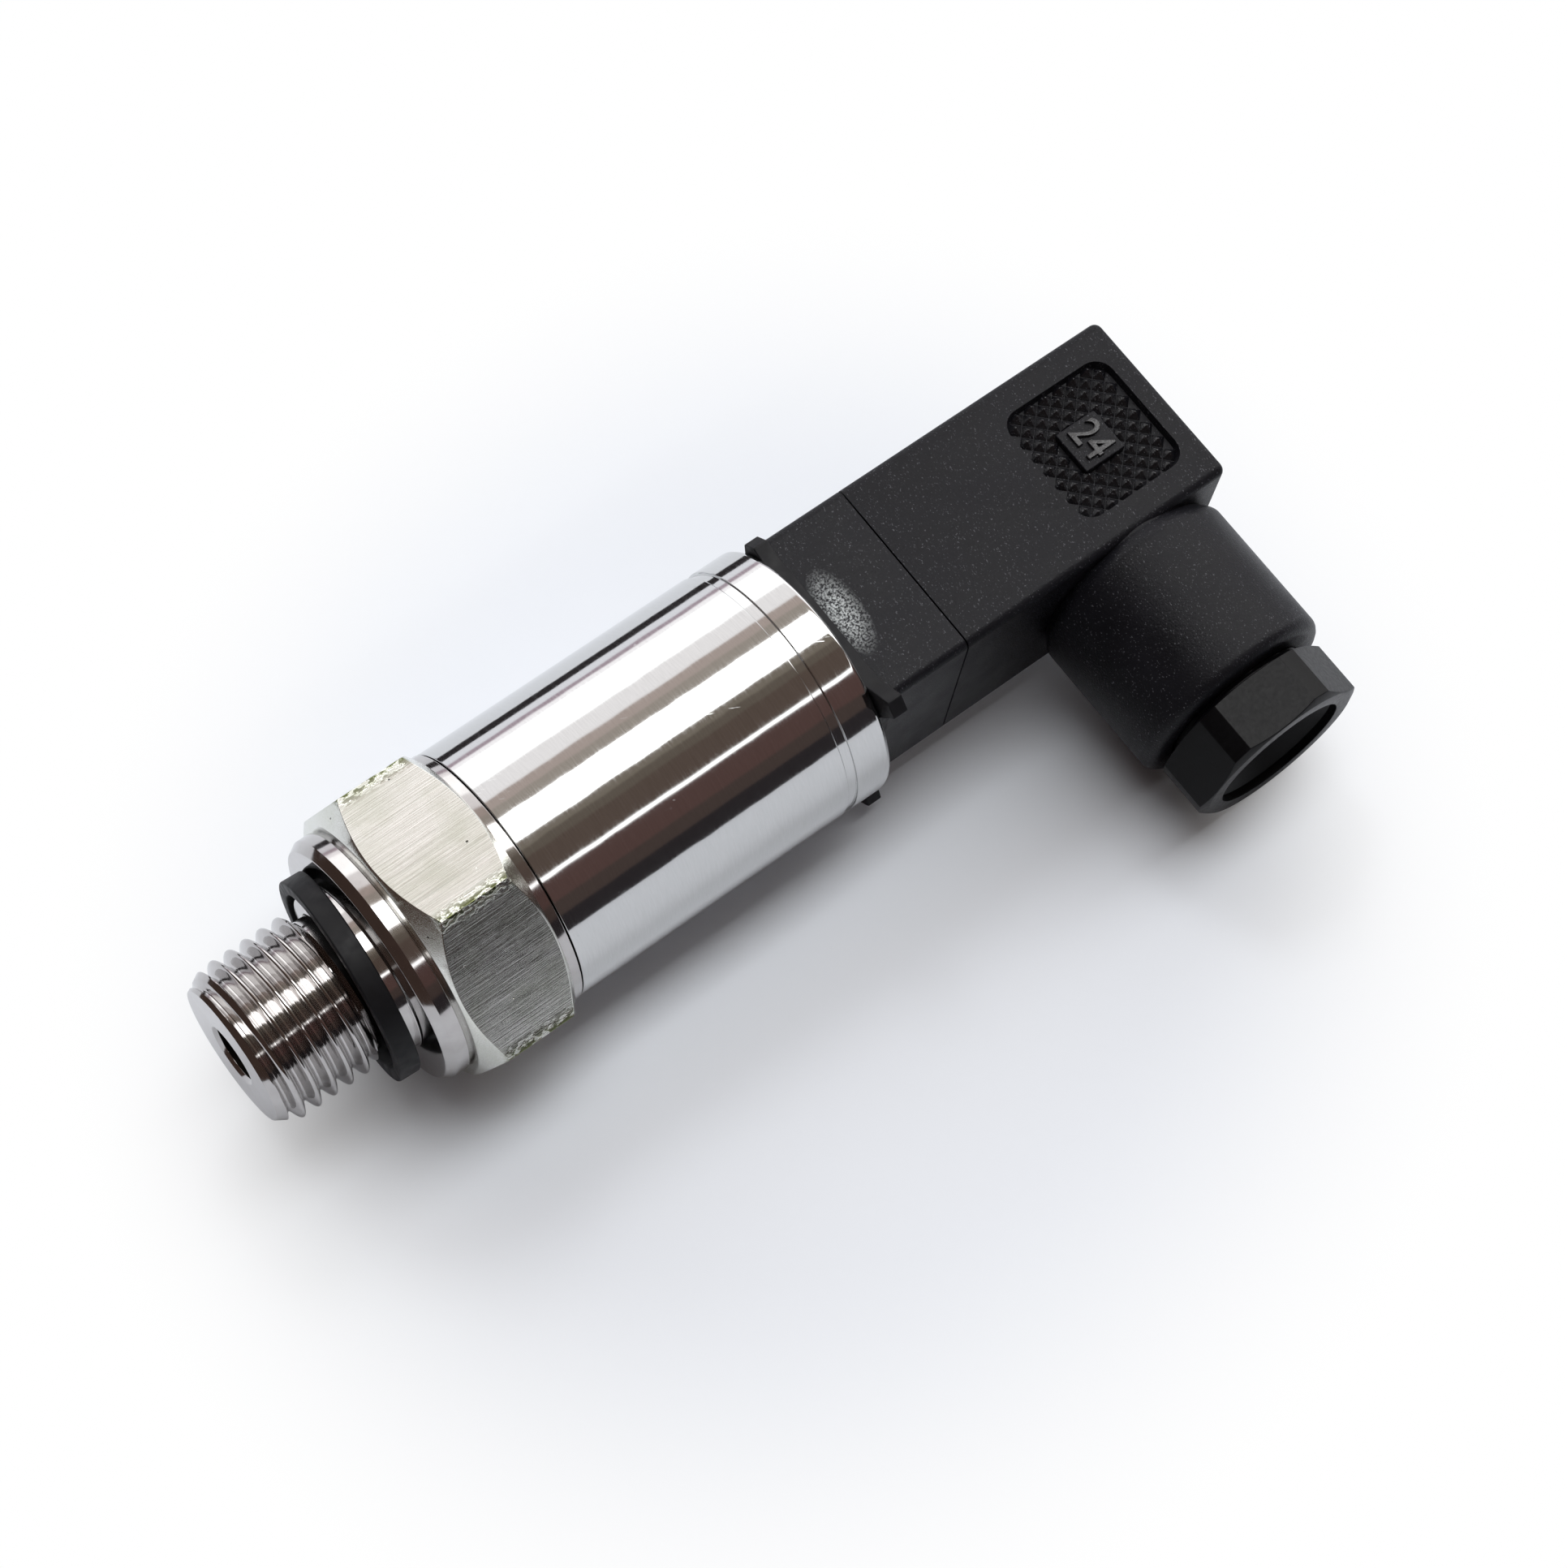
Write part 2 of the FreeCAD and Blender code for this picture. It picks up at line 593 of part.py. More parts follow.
# End ring: spigot in the sleeve, a shallow groove, the rim, and a lip round the pin base
body = newBody("end_ring")
sketch = newSketch(body, "Section")
polygon(sketch, [
    (add(xRing, "-Dim.ringSpigot"), half("ringBore")),
    (add(xRing, "-Dim.ringSpigot"), rSpigot),
    (xRing, rSpigot),
    (xRing, half("ringGrooveDia")),
    (xRim, half("ringGrooveDia")),
    (xRim, half("sleeveDia")),
    (add(xRimEnd, "-Dim.rimRound"), half("sleeveDia")),
    (add(xRimEnd, "-Dim.rimRound * (1 - sin(30 deg))"),
     "Dim.sleeveDia / 2 - Dim.rimRound * (1 - cos(30 deg))"),
    (add(xRimEnd, "-Dim.rimRound * (1 - sin(60 deg))"),
     "Dim.sleeveDia / 2 - Dim.rimRound * (1 - cos(60 deg))"),
    (xRimEnd, "Dim.sleeveDia / 2 - Dim.rimRound"),
    (xRimEnd, half("lipBore")),
    (xLip, half("lipBore")),
    (xLip, half("ringBore"))])
revolve(body, sketch)
keep("end_ring", body)

# Pin base: moulded flange against the lip, boss out to the gasket, boss in to the board
body = newBody("pin_base")
rBase = "Dim.ringBore / 2 - Dim.spigotFit"
rLipBoss = "Dim.lipBore / 2 - Dim.spigotFit"
rSealRoot = "Dim.ringBore / 2 - Dim.baseSealThick"
xSealSlot = add(xFlange, "Dim.baseThick / 2 - Dim.baseSealWidth / 2")
sketch = newSketch(body, "Section")
polygon(sketch, [
    (xBase, "0"),
    (xBase, half("bossDia")),
    (xFlange, half("bossDia")),
    (xFlange, rBase),
    (xSealSlot, rBase),
    (xSealSlot, rSealRoot),
    (add(xSealSlot, "Dim.baseSealWidth"), rSealRoot),
    (add(xSealSlot, "Dim.baseSealWidth"), rBase),
    (xLip, rBase),
    (xLip, rLipBoss),
    (xRimEnd, rLipBoss),
    (xRimEnd, "0")])
revolve(body, sketch)
sketch = newSketch(body, "InsertHole", "YZ_Plane", {"z": xRimEnd})
circle(sketch, "Dim.insertNutDia / 2 + Dim.pressFit")
pocket(body, sketch, "Dim.insertNutLength")


def pinSlots(sketch, play):
    """Four slits for the flat contact pins, two across and two upright."""
    reach = "Dim.pinThick / 2 + " + play
    wide = "Dim.pinWidth / 2 + " + play
    for sign in ("1", "-1"):
        middle = sign + " * Dim.pinOffset"
        box(sketch, "-1 * (%s)" % wide, wide, "%s - (%s)" % (middle, reach),
            "%s + %s" % (middle, reach))
        box(sketch, "%s - (%s)" % (middle, reach), "%s + %s" % (middle, reach),
            "-1 * (%s)" % wide, wide)


sketch = newSketch(body, "PinHoles", "YZ_Plane", {"z": xRimEnd})
pinSlots(sketch, "Dim.pressFit")
pocket(body, sketch, "Dim.baseThick + Dim.lipThick")
sketch = newSketch(body, "TailHoles", "YZ_Plane", {"z": xFlange})
tailSlots(sketch, "Dim.pressFit")
pocket(body, sketch, "%s - (%s)" % (xFlange, xBase))
keep("pin_base", body)

# O-ring in the groove of the pin base
body = newBody("base_seal")
sketch = newSketch(body, "Section")
sealSection(sketch, add(xFlange, "Dim.baseThick / 2"),
            "Dim.ringBore / 2 - Dim.baseSealThick / 2", "Dim.baseSealThick")
revolve(body, sketch)
keep("base_seal", body)

# Brass insert for the fixing screw
body = newBody("thread_insert")
sketch = newSketch(body, "Section")
box(sketch, add(xRimEnd, "-Dim.insertNutLength"), xRimEnd,
    "Dim.screwDia / 2 + Dim.spigotFit", half("insertNutDia"))
revolve(body, sketch)
keep("thread_insert", body)

# Four flat contact pins with bevelled tips and narrow tails. The pin opposite the gland is the
# protective earth: it is a little longer, so that it makes contact first.
for label, turn, extra in (("pin_1", 0, "0"), ("pin_2", 90, "0"), ("pin_3", 180, "0"),
                           ("pin_earth", 270, "0.8")):
    body = newBody(label)
    xTip = add(xRimEnd, "Dim.pinReach", extra)
    low = "Dim.pinOffset - Dim.pinThick / 2"
    high = "Dim.pinOffset + Dim.pinThick / 2"
    sketch = newSketch(body, "Blade")
    polygon(sketch, [
        (xFlange, low),
        (add(xTip, "-2 * Dim.pinTip"), low),
        (xTip, add(low, "Dim.pinTip")),
        (xTip, add(high, "-Dim.pinTip")),
        (add(xTip, "-2 * Dim.pinTip"), high),
        (xFlange, high)])
    pad(body, sketch, "Dim.pinWidth", symmetric=True)
    sketch = newSketch(body, "Tail")
    box(sketch, add(xStackEnd, "-0.5"), add(xFlange, "0.5"), low, high)
    pad(body, sketch, "Dim.pinTail", symmetric=True)
    keep(label, body, FreeCAD.Placement(
        FreeCAD.Vector(), FreeCAD.Rotation(FreeCAD.Vector(1, 0, 0), turn)))

# Gasket with an ear at each corner
body = newBody("gasket")
sketch = newSketch(body, "Outline", "YZ_Plane", {"z": xRimEnd})
gasketHalf = half("gasketSide")
outline = []
for y, z, reach in ((1, 1, "Dim.earWorn"), (-1, 1, "Dim.earReach"),
                    (-1, -1, "Dim.earReach"), (1, -1, "Dim.earReach")):
    foot = "%s - 2 * Dim.earFoot" % gasketHalf
    near = [
        (gasketHalf, foot),
        ("%s + %s" % (gasketHalf, reach), "%s + Dim.earFoot + %s" % (foot, reach)),
        ("%s + Dim.earFoot + %s" % (foot, reach), "%s + %s" % (gasketHalf, reach)),
        (foot, gasketHalf)]
    if y * z < 0:
        near.reverse()
    for first, second in near:
        outline.append(("%d * (%s)" % (y, first), "%d * (%s)" % (z, second)))
polygon(sketch, outline)
box(sketch, "-Dim.gasketHole / 2", half("gasketHole"), "-Dim.gasketHole / 2", half("gasketHole"))
pad(body, sketch, "Dim.gasketThick")
keep("gasket", body)


def longEdges(edge):
    """Straight edges along the body axis."""
    box_ = edge.BoundBox
    return box_.XLength > 1 and box_.YLength < 1e-3 and box_.ZLength < 1e-3


# Contact insert: square head with the pin slits, and a block inside the housing that holds the
# sockets
body = newBody("contact_insert")
sketch = newSketch(body, "Head", "YZ_Plane", {"z": xHead})
box(sketch, "-Dim.plugSide / 2", half("plugSide"), "-Dim.plugSide / 2", half("plugSide"))
pad(body, sketch, "Dim.headLength")
fillet(body, "Dim.plugEdge", longEdges)
sketch = newSketch(body, "Core", "YZ_Plane", {"z": xHousing})
box(sketch, "-Dim.coreSide / 2", half("coreSide"), "-Dim.coreSide / 2", half("coreSide"))
pad(body, sketch, "Dim.coreLength")
coreX = sum(size(name) for name in (
    "threadLength", "reliefLength", "neckLength", "collarLength", "collarGroove",
    "hexLength", "bandLength", "sleeveGap", "sleeveLength", "ringGroove",
    "rimLength", "gasketThick", "headLength"))
fillet(body, "Dim.coreRound", lambda edge: longEdges(edge) and edge.BoundBox.XMin > coreX - 1e-3)
sketch = newSketch(body, "ScrewHole", "YZ_Plane", {"z": xHead})
circle(sketch, "Dim.screwDia / 2 + Dim.screwPlay")
pocket(body, sketch, "Dim.headLength + Dim.coreLength", backward=True)
sketch = newSketch(body, "Slits", "YZ_Plane", {"z": xHead})
pinSlots(sketch, "Dim.slitPlay")
pocket(body, sketch, "Dim.slitDepth", backward=True)
sketch = newSketch(body, "Pockets", "YZ_Plane", {"z": xSocket})
for sign in ("1", "-1"):
    near = "Dim.pinOffset - Dim.pocketDepth / 2"
    far = "Dim.pinOffset + Dim.pocketDepth / 2"
    if sign == "-1":
        near, far = "-1 * (%s)" % far, "-1 * (%s)" % near
    box(sketch, "-Dim.pocketWidth / 2", half("pocketWidth"), near, far)
    box(sketch, near, far, "-Dim.pocketWidth / 2", half("pocketWidth"))
pocket(body, sketch, "Dim.headLength + Dim.coreLength - Dim.slitDepth", backward=True)
xClamp = add(xSocket, "Dim.socketLength - Dim.clampPlace")
sketch = newSketch(body, "AccessUpright", "XY_Plane")
circle(sketch, half("clampAccess"), xClamp)
pocket(body, sketch, "Dim.coreSide + 1", symmetric=True)
sketch = newSketch(body, "AccessAcross", "XZ_Plane")
circle(sketch, half("clampAccess"), xClamp)
pocket(body, sketch, "Dim.coreSide + 1", symmetric=True)
keep("contact_insert", body)

# Contact sockets and their terminal screws, one of each behind every pin
for number, turn in ((1, 0), (2, 90), (3, 180), ("earth", 270)):
    spot = FreeCAD.Placement(FreeCAD.Vector(), FreeCAD.Rotation(FreeCAD.Vector(1, 0, 0), turn))
    body = newBody("socket_%s" % number)
    low = "Dim.pinOffset - Dim.pocketDepth / 2 + Dim.socketPlay"
    high = "Dim.pinOffset + Dim.pocketDepth / 2 - Dim.socketPlay"
    sketch = newSketch(body, "Bar")
    box(sketch, xSocket, add(xSocket, "Dim.socketLength"), low, high)
    pad(body, sketch, "Dim.pocketWidth - 2 * Dim.socketPlay", symmetric=True)
    sketch = newSketch(body, "BladeSlot", "YZ_Plane", {"z": xSocket})
    wide = "Dim.pinWidth / 2 + Dim.socketPlay"
    box(sketch, "-1 * (%s)" % wide, wide, "Dim.pinOffset - Dim.pinThick / 2 - Dim.socketPlay",
        "Dim.pinOffset + Dim.pinThick / 2 + Dim.socketPlay")
    pocket(body, sketch, "Dim.socketSlot", backward=True)
    sketch = newSketch(body, "WireHole", "YZ_Plane", {"z": add(xSocket, "Dim.socketLength")})
    circle(sketch, half("wireHole"), "0", "Dim.pinOffset")
    pocket(body, sketch, "Dim.wireDepth")
    sketch = newSketch(body, "ScrewHole", "XY_Plane", {"z": "Dim.pinOffset + Dim.wireHole / 4"})
    circle(sketch, "Dim.clampScrewDia / 2 + Dim.socketPlay", xClamp)
    pocket(body, sketch, "Dim.pocketDepth", backward=True)
    keep("socket_%s" % number, body, spot)

    body = newBody("terminal_screw_%s" % number)
    rHead = high
    sketch = newSketch(body, "Shank", "XY_Plane", {"z": "Dim.pinOffset + Dim.wireHole / 4"})
    circle(sketch, half("clampScrewDia"), xClamp)
    pad(body, sketch, "(%s) - (Dim.pinOffset + Dim.wireHole / 4)" % rHead)
    sketch = newSketch(body, "Head", "XY_Plane", {"z": rHead})
    circle(sketch, half("clampHeadDia"), xClamp)
    pad(body, sketch, "Dim.clampHead")
    sketch = newSketch(body, "Slot", "XY_Plane", {"z": add(rHead, "Dim.clampHead")})
    box(sketch, add(xClamp, "-Dim.clampHeadDia"), add(xClamp, "Dim.clampHeadDia"),
        "-0.25", "0.25")
    pocket(body, sketch, "Dim.clampHead / 2")
    keep("terminal_screw_%s" % number, body, spot)

# Plug housing, outer form: square block with rounded edges, and the gland cylinder, which flares
# from a narrower foot on the side wall
shell = newBody("housing_shell")
sketch = newSketch(shell, "Block", "YZ_Plane", {"z": xHousing})
box(sketch, "-Dim.plugSide / 2", half("plugSide"), "-Dim.plugSide / 2", half("plugSide"))
pad(shell, sketch, "Dim.housingLength")
fillet(shell, "Dim.plugEdge", longEdges)
endX = coreX + size("housingLength")
fillet(shell, "Dim.housingRound", lambda edge: edge.BoundBox.XMin > endX - 1e-3)
flipped = FreeCAD.Rotation(FreeCAD.Vector(1, 0, 0), 180)
sketch = newSketch(shell, "GlandOutline", "XY_Plane", {"x": xGland}, flipped)
polygon(sketch, [
    ("0", add(half("plugSide"), "-1.2")),
    (half("glandFootDia"), add(half("plugSide"), "-1.2")),
    (half("glandFootDia"), half("plugSide")),
    (half("glandDia"), add(half("plugSide"), "Dim.glandFoot")),
    (half("glandDia"), "Dim.glandReach"),
    ("0", "Dim.glandReach")])
revolve(shell, sketch, "V_Axis")
reachY = -size("glandReach")
fillet(shell, "Dim.glandRound", lambda edge: edge.BoundBox.YMax < reachY + 1e-3)

# Hollow of the housing: room for the contact insert and the wires, the screw column, and the
# stepped bore of the gland
sketch = newSketch(shell, "Hollow", "YZ_Plane", {"z": xHousing})
hollow = "Dim.coreSide / 2 + Dim.corePlay"
box(sketch, "-1 * (%s)" % hollow, hollow, "-1 * (%s)" % hollow, hollow)
pocket(shell, sketch, "Dim.cavityLength", backward=True)
sketch = newSketch(shell, "Column", "YZ_Plane", {"z": add(xCoreEnd, "0.3")})
circle(sketch, half("columnDia"))
pad(shell, sketch, "Dim.cavityLength - Dim.coreLength - 0.3 + 0.1")
sketch = newSketch(shell, "ScrewHole", "YZ_Plane", {"z": xHousing})
circle(sketch, "Dim.screwDia / 2 + Dim.screwPlay")
pocket(shell, sketch, "Dim.housingLength", backward=True)
sketch = newSketch(shell, "Counterbore", "YZ_Plane", {"z": xPlugEnd})
circle(sketch, half("sinkDia"))
pocket(shell, sketch, "Dim.sinkDepth")
sketch = newSketch(shell, "GlandBores", "XY_Plane", {"x": xGland}, flipped)
polygon(sketch, [
    ("0", add(hollow, "-1")),
    (half("channelDia"), add(hollow, "-1")),
    (half("channelDia"), "Dim.channelLength"),
    (half("glandBore"), "Dim.channelLength"),
    (half("glandBore"), add("Dim.glandReach", "0.5")),
    ("0", add("Dim.glandReach", "0.5"))])
groove(shell, sketch, "V_Axis")

# Recess on the lettered face, with rounded corners
sketch = newSketch(shell, "Recess", "XY_Plane", {"z": half("plugSide")})
xRecess = add(xHousing, "Dim.recessStart")
xRecessEnd = add(xRecess, "Dim.recessLength")
box(sketch, xRecess, xRecessEnd, "-Dim.recessWidth / 2", half("recessWidth"))
pocket(shell, sketch, "Dim.recessDepth")
recessX = coreX + size("recessStart")


def recessCorners(edge):
    """Upright edges in the corners of the recess."""
    box_ = edge.BoundBox
    upright = box_.XLength < 1e-3 and box_.YLength < 1e-3 and box_.ZLength < 2
    inside = recessX - 1e-3 < box_.XMin < recessX + size("recessLength") + 1e-3
    return upright and inside and box_.ZMin > size("plugSide") / 2 - size("recessDepth") - 1e-3


fillet(shell, "Dim.recessRound", recessCorners)

# Gripping pattern in the recess: a thin slab cut by two crossing rows of V grooves, which leave
# small pyramids standing at 45 degrees to the plug, and a plain square plate
pattern = newBody("grip_pattern")
zFloor = "Dim.plugSide / 2 - Dim.recessDepth"
sketch = newSketch(pattern, "Slab", "XY_Plane", {"z": zFloor})
box(sketch, xRecess, xRecessEnd, "-Dim.recessWidth / 2", half("recessWidth"))
pad(pattern, sketch, "Dim.knurlFloor + Dim.knurlHeight")
fillet(pattern, "Dim.recessRound", lambda edge: (
    edge.BoundBox.XLength < 1e-3 and edge.BoundBox.YLength < 1e-3))
rows = int((size("recessLength") + size("recessWidth")) / 1.41421 / size("knurlPitch")) + 3
for side in (45, -45):
    turn = FreeCAD.Rotation(FreeCAD.Vector(0, 1, 0), side)
    sketch = newSketch(pattern, "Vee", "XZ_Plane", {
        "x": "(%s) + Dim.recessLength / 2" % xRecess}, turn)
    first = "-1 * %d * Dim.knurlPitch / 2" % rows
    zTop = zFloor + " + Dim.knurlFloor + Dim.knurlHeight"
    polygon(sketch, [
        (first, zFloor + " + Dim.knurlFloor"),
        (first + " + Dim.knurlPitch / 2", zTop),
        (first + " + Dim.knurlPitch / 2", zTop + " + 0.1"),
        (first + " - Dim.knurlPitch / 2", zTop + " + 0.1"),
        (first + " - Dim.knurlPitch / 2", zTop)])
    doc.recompute()
    cut = pattern.newObject("PartDesign::Pocket", "VeeCut")
    cut.Profile = sketch
    cut.Midplane = True
    cut.setExpression("Length", "2 * (Dim.recessLength + Dim.recessWidth)")
    array = pattern.newObject("PartDesign::LinearPattern", "VeeRow")
    array.Originals = [cut]
    array.Direction = (sketch, ["H_Axis"])
    array.setExpression("Length", "%d * Dim.knurlPitch" % rows)
    array.Occurrences = rows + 1
    pattern.Tip = array
    doc.recompute()
sketch = newSketch(pattern, "Plate", "XY_Plane", {"z": zFloor})
plateLeft = "(%s) + Dim.recessLength / 2 - Dim.plateAhead - Dim.plateSide / 2" % xRecess
box(sketch, plateLeft, add(plateLeft, "Dim.plateSide"), "-Dim.plateSide / 2", half("plateSide"))
pad(pattern, sketch, "Dim.recessDepth")
doc.recompute()
housing = doc.addObject("Part::Fuse", "plug_housing")
housing.Base = shell
housing.Tool = pattern
keep("plug_housing", housing)

# Central fixing screw with a slotted cheese head, and the seal ring under it
body = newBody("fixing_screw")
xHeadFace = add(xSink, "Dim.screwSealThick")
sketch = newSketch(body, "Section")
polygon(sketch, [
    (add(xRimEnd, "-Dim.insertNutLength + 0.5"), "0"),
    (add(xRimEnd, "-Dim.insertNutLength + 0.5"), "Dim.screwDia / 2 - 0.3"),
    (add(xRimEnd, "-Dim.insertNutLength + 0.8"), half("screwDia")),
    (xHeadFace, half("screwDia")),
    (xHeadFace, half("screwHeadDia")),
    (add(xHeadFace, "Dim.screwHead - 0.3"), half("screwHeadDia")),
    (add(xHeadFace, "Dim.screwHead"), "Dim.screwHeadDia / 2 - 0.3"),
    (add(xHeadFace, "Dim.screwHead"), "0")])
revolve(body, sketch)
sketch = newSketch(body, "Slot", "YZ_Plane", {"z": add(xHeadFace, "Dim.screwHead")})
box(sketch, "-Dim.screwHeadDia", "Dim.screwHeadDia", "-Dim.screwSlot / 2", half("screwSlot"))
pocket(body, sketch, "Dim.screwSlotDepth")
keep("fixing_screw", body)

body = newBody("screw_seal")
sketch = newSketch(body, "Section")
box(sketch, xSink, xHeadFace, "Dim.screwDia / 2 + Dim.spigotFit", half("screwSealDia"))
revolve(body, sketch)
keep("screw_seal", body)

# Cable gland. Its pieces are built upright round their own +Z, the outward direction of the
# gland, with the body axis at height 0.
glandSpot = FreeCAD.Placement(
    FreeCAD.Vector(coreX + size("glandPlace"), 0, 0),
    FreeCAD.Rotation(FreeCAD.Vector(1, 0, 0), 90))
body = newBody("gland_grommet")
zWasher = add("Dim.channelLength", "Dim.grommetLength")
zShank = add(zWasher, "Dim.washerThick")
sketch = newSketch(body, "Section")
polygon(sketch, [
    (half("grommetBore"), "Dim.channelLength"),
    (half("grommetDia"), "Dim.channelLength"),
    (half("grommetDia"), add(zWasher, "-0.6")),
    ("Dim.grommetDia / 2 - 0.6", zWasher),
    (half("grommetBore"), zWasher)])
revolve(body, sketch, "V_Axis")
keep("gland_grommet", body, glandSpot)

body = newBody("slip_washer")
sketch = newSketch(body, "Section")
box(sketch, half("washerBore"), half("nutShankDia"), zWasher, zShank)
revolve(body, sketch, "V_Axis")
keep("slip_washer", body, glandSpot)

# Gland nut: hexagon with turned, rounded corners, bevelled end and flared mouth
body = newBody("gland_nut")
zNut = add("Dim.glandReach", "Dim.nutStart")
zNutEnd = add(zNut, "Dim.nutLength")
sketch = newSketch(body, "Hexagon", "XY_Plane", {"z": zNut})
nutCorners = []
for index in range(6):
    angle = "(Dim.nutTurn * -1 + %d) * 1 deg" % (60 * index)
    radius = "Dim.nutFlats / sqrt(3)"
    nutCorners.append(("%s * cos(%s)" % (radius, angle), "%s * sin(%s)" % (radius, angle)))
polygon(sketch, nutCorners)
pad(body, sketch, "Dim.nutLength")
sketch = newSketch(body, "TurnedCorners")
rFar = "Dim.nutFlats / sqrt(3) + 1"
polygon(sketch, [
    (half("nutDia"), add(zNut, "-0.5")),
    (half("nutDia"), add(zNutEnd, "-Dim.nutBevel")),
    ("Dim.nutDia / 2 - Dim.nutBevel", zNutEnd),
    ("Dim.nutDia / 2 - Dim.nutBevel", add(zNutEnd, "0.5")),
    (rFar, add(zNutEnd, "0.5")),
    (rFar, add(zNut, "-0.5"))])
groove(body, sketch, "V_Axis")
sketch = newSketch(body, "Shank")
box(sketch, "0", half("nutShankDia"), zShank, zNut)
revolve(body, sketch, "V_Axis")
sketch = newSketch(body, "Mouth")
polygon(sketch, [
    ("0", add(zShank, "-0.5")),
    (half("nutBore"), add(zShank, "-0.5")),
    (half("nutBore"), add(zNutEnd, "-Dim.nutMouth")),
    (half("nutMouthDia"), zNutEnd),
    (half("nutMouthDia"), add(zNutEnd, "0.5")),
    ("0", add(zNutEnd, "0.5"))])
groove(body, sketch, "V_Axis")
keep("gland_nut", body, glandSpot)

doc.recompute()

# Attitude: rolled about the body axis and pitched, then set down with the middle of the whole
# thing's box over the origin and its lowest point at height 0
lay = FreeCAD.Placement(FreeCAD.Vector(), FreeCAD.Rotation(
    FreeCAD.Vector(0, 1, 0), -size("layPitch")).multiply(
    FreeCAD.Rotation(FreeCAD.Vector(1, 0, 0), size("layRoll"))))
whole = FreeCAD.BoundBox()
for label, (item, place) in nodes.items():
    item.Placement = lay.multiply(place)
doc.recompute()
for label, (item, place) in nodes.items():
    whole.add(item.Shape.optimalBoundingBox(False, False))
lay.Base = FreeCAD.Vector(-whole.Center.x, -whole.Center.y, -whole.ZMin)
for label, (item, place) in nodes.items():
    item.Placement = lay.multiply(place)
doc.recompute()

for item in doc.Objects:
    for word in ("Invalid", "Error"):
        if word in item.State:
            raise ValueError("%s is %s" % (item.Label, word))
os.makedirs("parts", exist_ok=True)
for label, (item, place) in nodes.items():
    if item.Shape.isNull() or not item.Shape.isValid():
        raise ValueError(label + " has no valid shape")
for label, (item, place) in nodes.items():
    item.Shape.exportStep("parts/%s.step" % label)
    print("%-22s solids %d volume %9.2f" % (label, len(item.Shape.Solids), item.Shape.Volume))
print("lay", lay.Base, "box", whole.XLength, whole.YLength, whole.ZLength)
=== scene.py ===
import json
import math

import bmesh
import bpy
from mathutils import Matrix, Quaternion, Vector


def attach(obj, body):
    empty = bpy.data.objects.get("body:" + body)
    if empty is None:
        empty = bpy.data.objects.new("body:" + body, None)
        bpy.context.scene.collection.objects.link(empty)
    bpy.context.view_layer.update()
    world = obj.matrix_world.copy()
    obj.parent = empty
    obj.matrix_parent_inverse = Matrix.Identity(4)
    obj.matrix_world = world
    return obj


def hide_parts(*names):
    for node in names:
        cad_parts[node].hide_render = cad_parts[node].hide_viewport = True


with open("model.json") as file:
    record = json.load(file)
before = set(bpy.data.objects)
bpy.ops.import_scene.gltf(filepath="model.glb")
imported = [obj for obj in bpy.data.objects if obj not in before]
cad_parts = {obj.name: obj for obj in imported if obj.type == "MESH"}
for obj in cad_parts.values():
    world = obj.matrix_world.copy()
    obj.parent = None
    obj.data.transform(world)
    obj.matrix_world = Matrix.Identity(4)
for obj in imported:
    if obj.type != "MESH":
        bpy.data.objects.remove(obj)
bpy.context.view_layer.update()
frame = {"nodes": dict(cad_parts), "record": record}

print("frame loaded:", len(frame["nodes"]), "pieces from the CAD model")

# The transmitter's own frame, in millimetres: x runs from the pressure port to the plug, z points
# out of the patterned face of the plug, and the cable gland points along -y. The record's mounts
# say where that frame lies.
threadMiddle = 5.3  # the thread's mount, from the front face
mounts = {mount["name"]: mount for mount in frame["record"]["mounts"]}
alongBody = -Vector(mounts["process_thread"]["axis"])
alongGland = Vector(mounts["cable_entry"]["axis"])
faceNormal = alongGland.cross(alongBody)
frontFace = Vector(mounts["process_thread"]["pos_m"]) - alongBody * threadMiddle / 1000
lay = Matrix((alongBody, -alongGland, faceNormal)).transposed().to_4x4()
lay.translation = frontFace
toWorld = lay @ Matrix.Scale(0.001, 4)
glandPlace = (Vector(mounts["cable_entry"]["pos_m"]) - frontFace).dot(alongBody) * 1000
# turns something built upright round +z onto the gland, with height 0 on the body's axis
ontoGland = Matrix.Translation((glandPlace, 0, 0)) @ Matrix.Rotation(math.radians(90), 4, "X")
ontoBody = Matrix.Rotation(math.radians(90), 4, "Y")  # from round +z to round +x


def linear(code):
    # sRGB hex to linear RGBA
    values = []
    for place in (1, 3, 5):
        share = int(code[place:place + 2], 16) / 255
        values.append(share / 12.92 if share <= 0.04045 else ((share + 0.055) / 1.055) ** 2.4)
    return (*values, 1.0)


def addNode(tree, kind, inputs=None, **settings):
    # adds a node with its settings; an input is a value, a socket, or a node's first output
    node = tree.nodes.new(kind)
    for name, value in settings.items():
        setattr(node, name, value)
    for key, value in (inputs or {}).items():
        if isinstance(value, bpy.types.Node):
            value = value.outputs[0]
        if isinstance(value, bpy.types.NodeSocket):
            tree.links.new(value, node.inputs[key])
        else:
            node.inputs[key].default_value = value
    return node


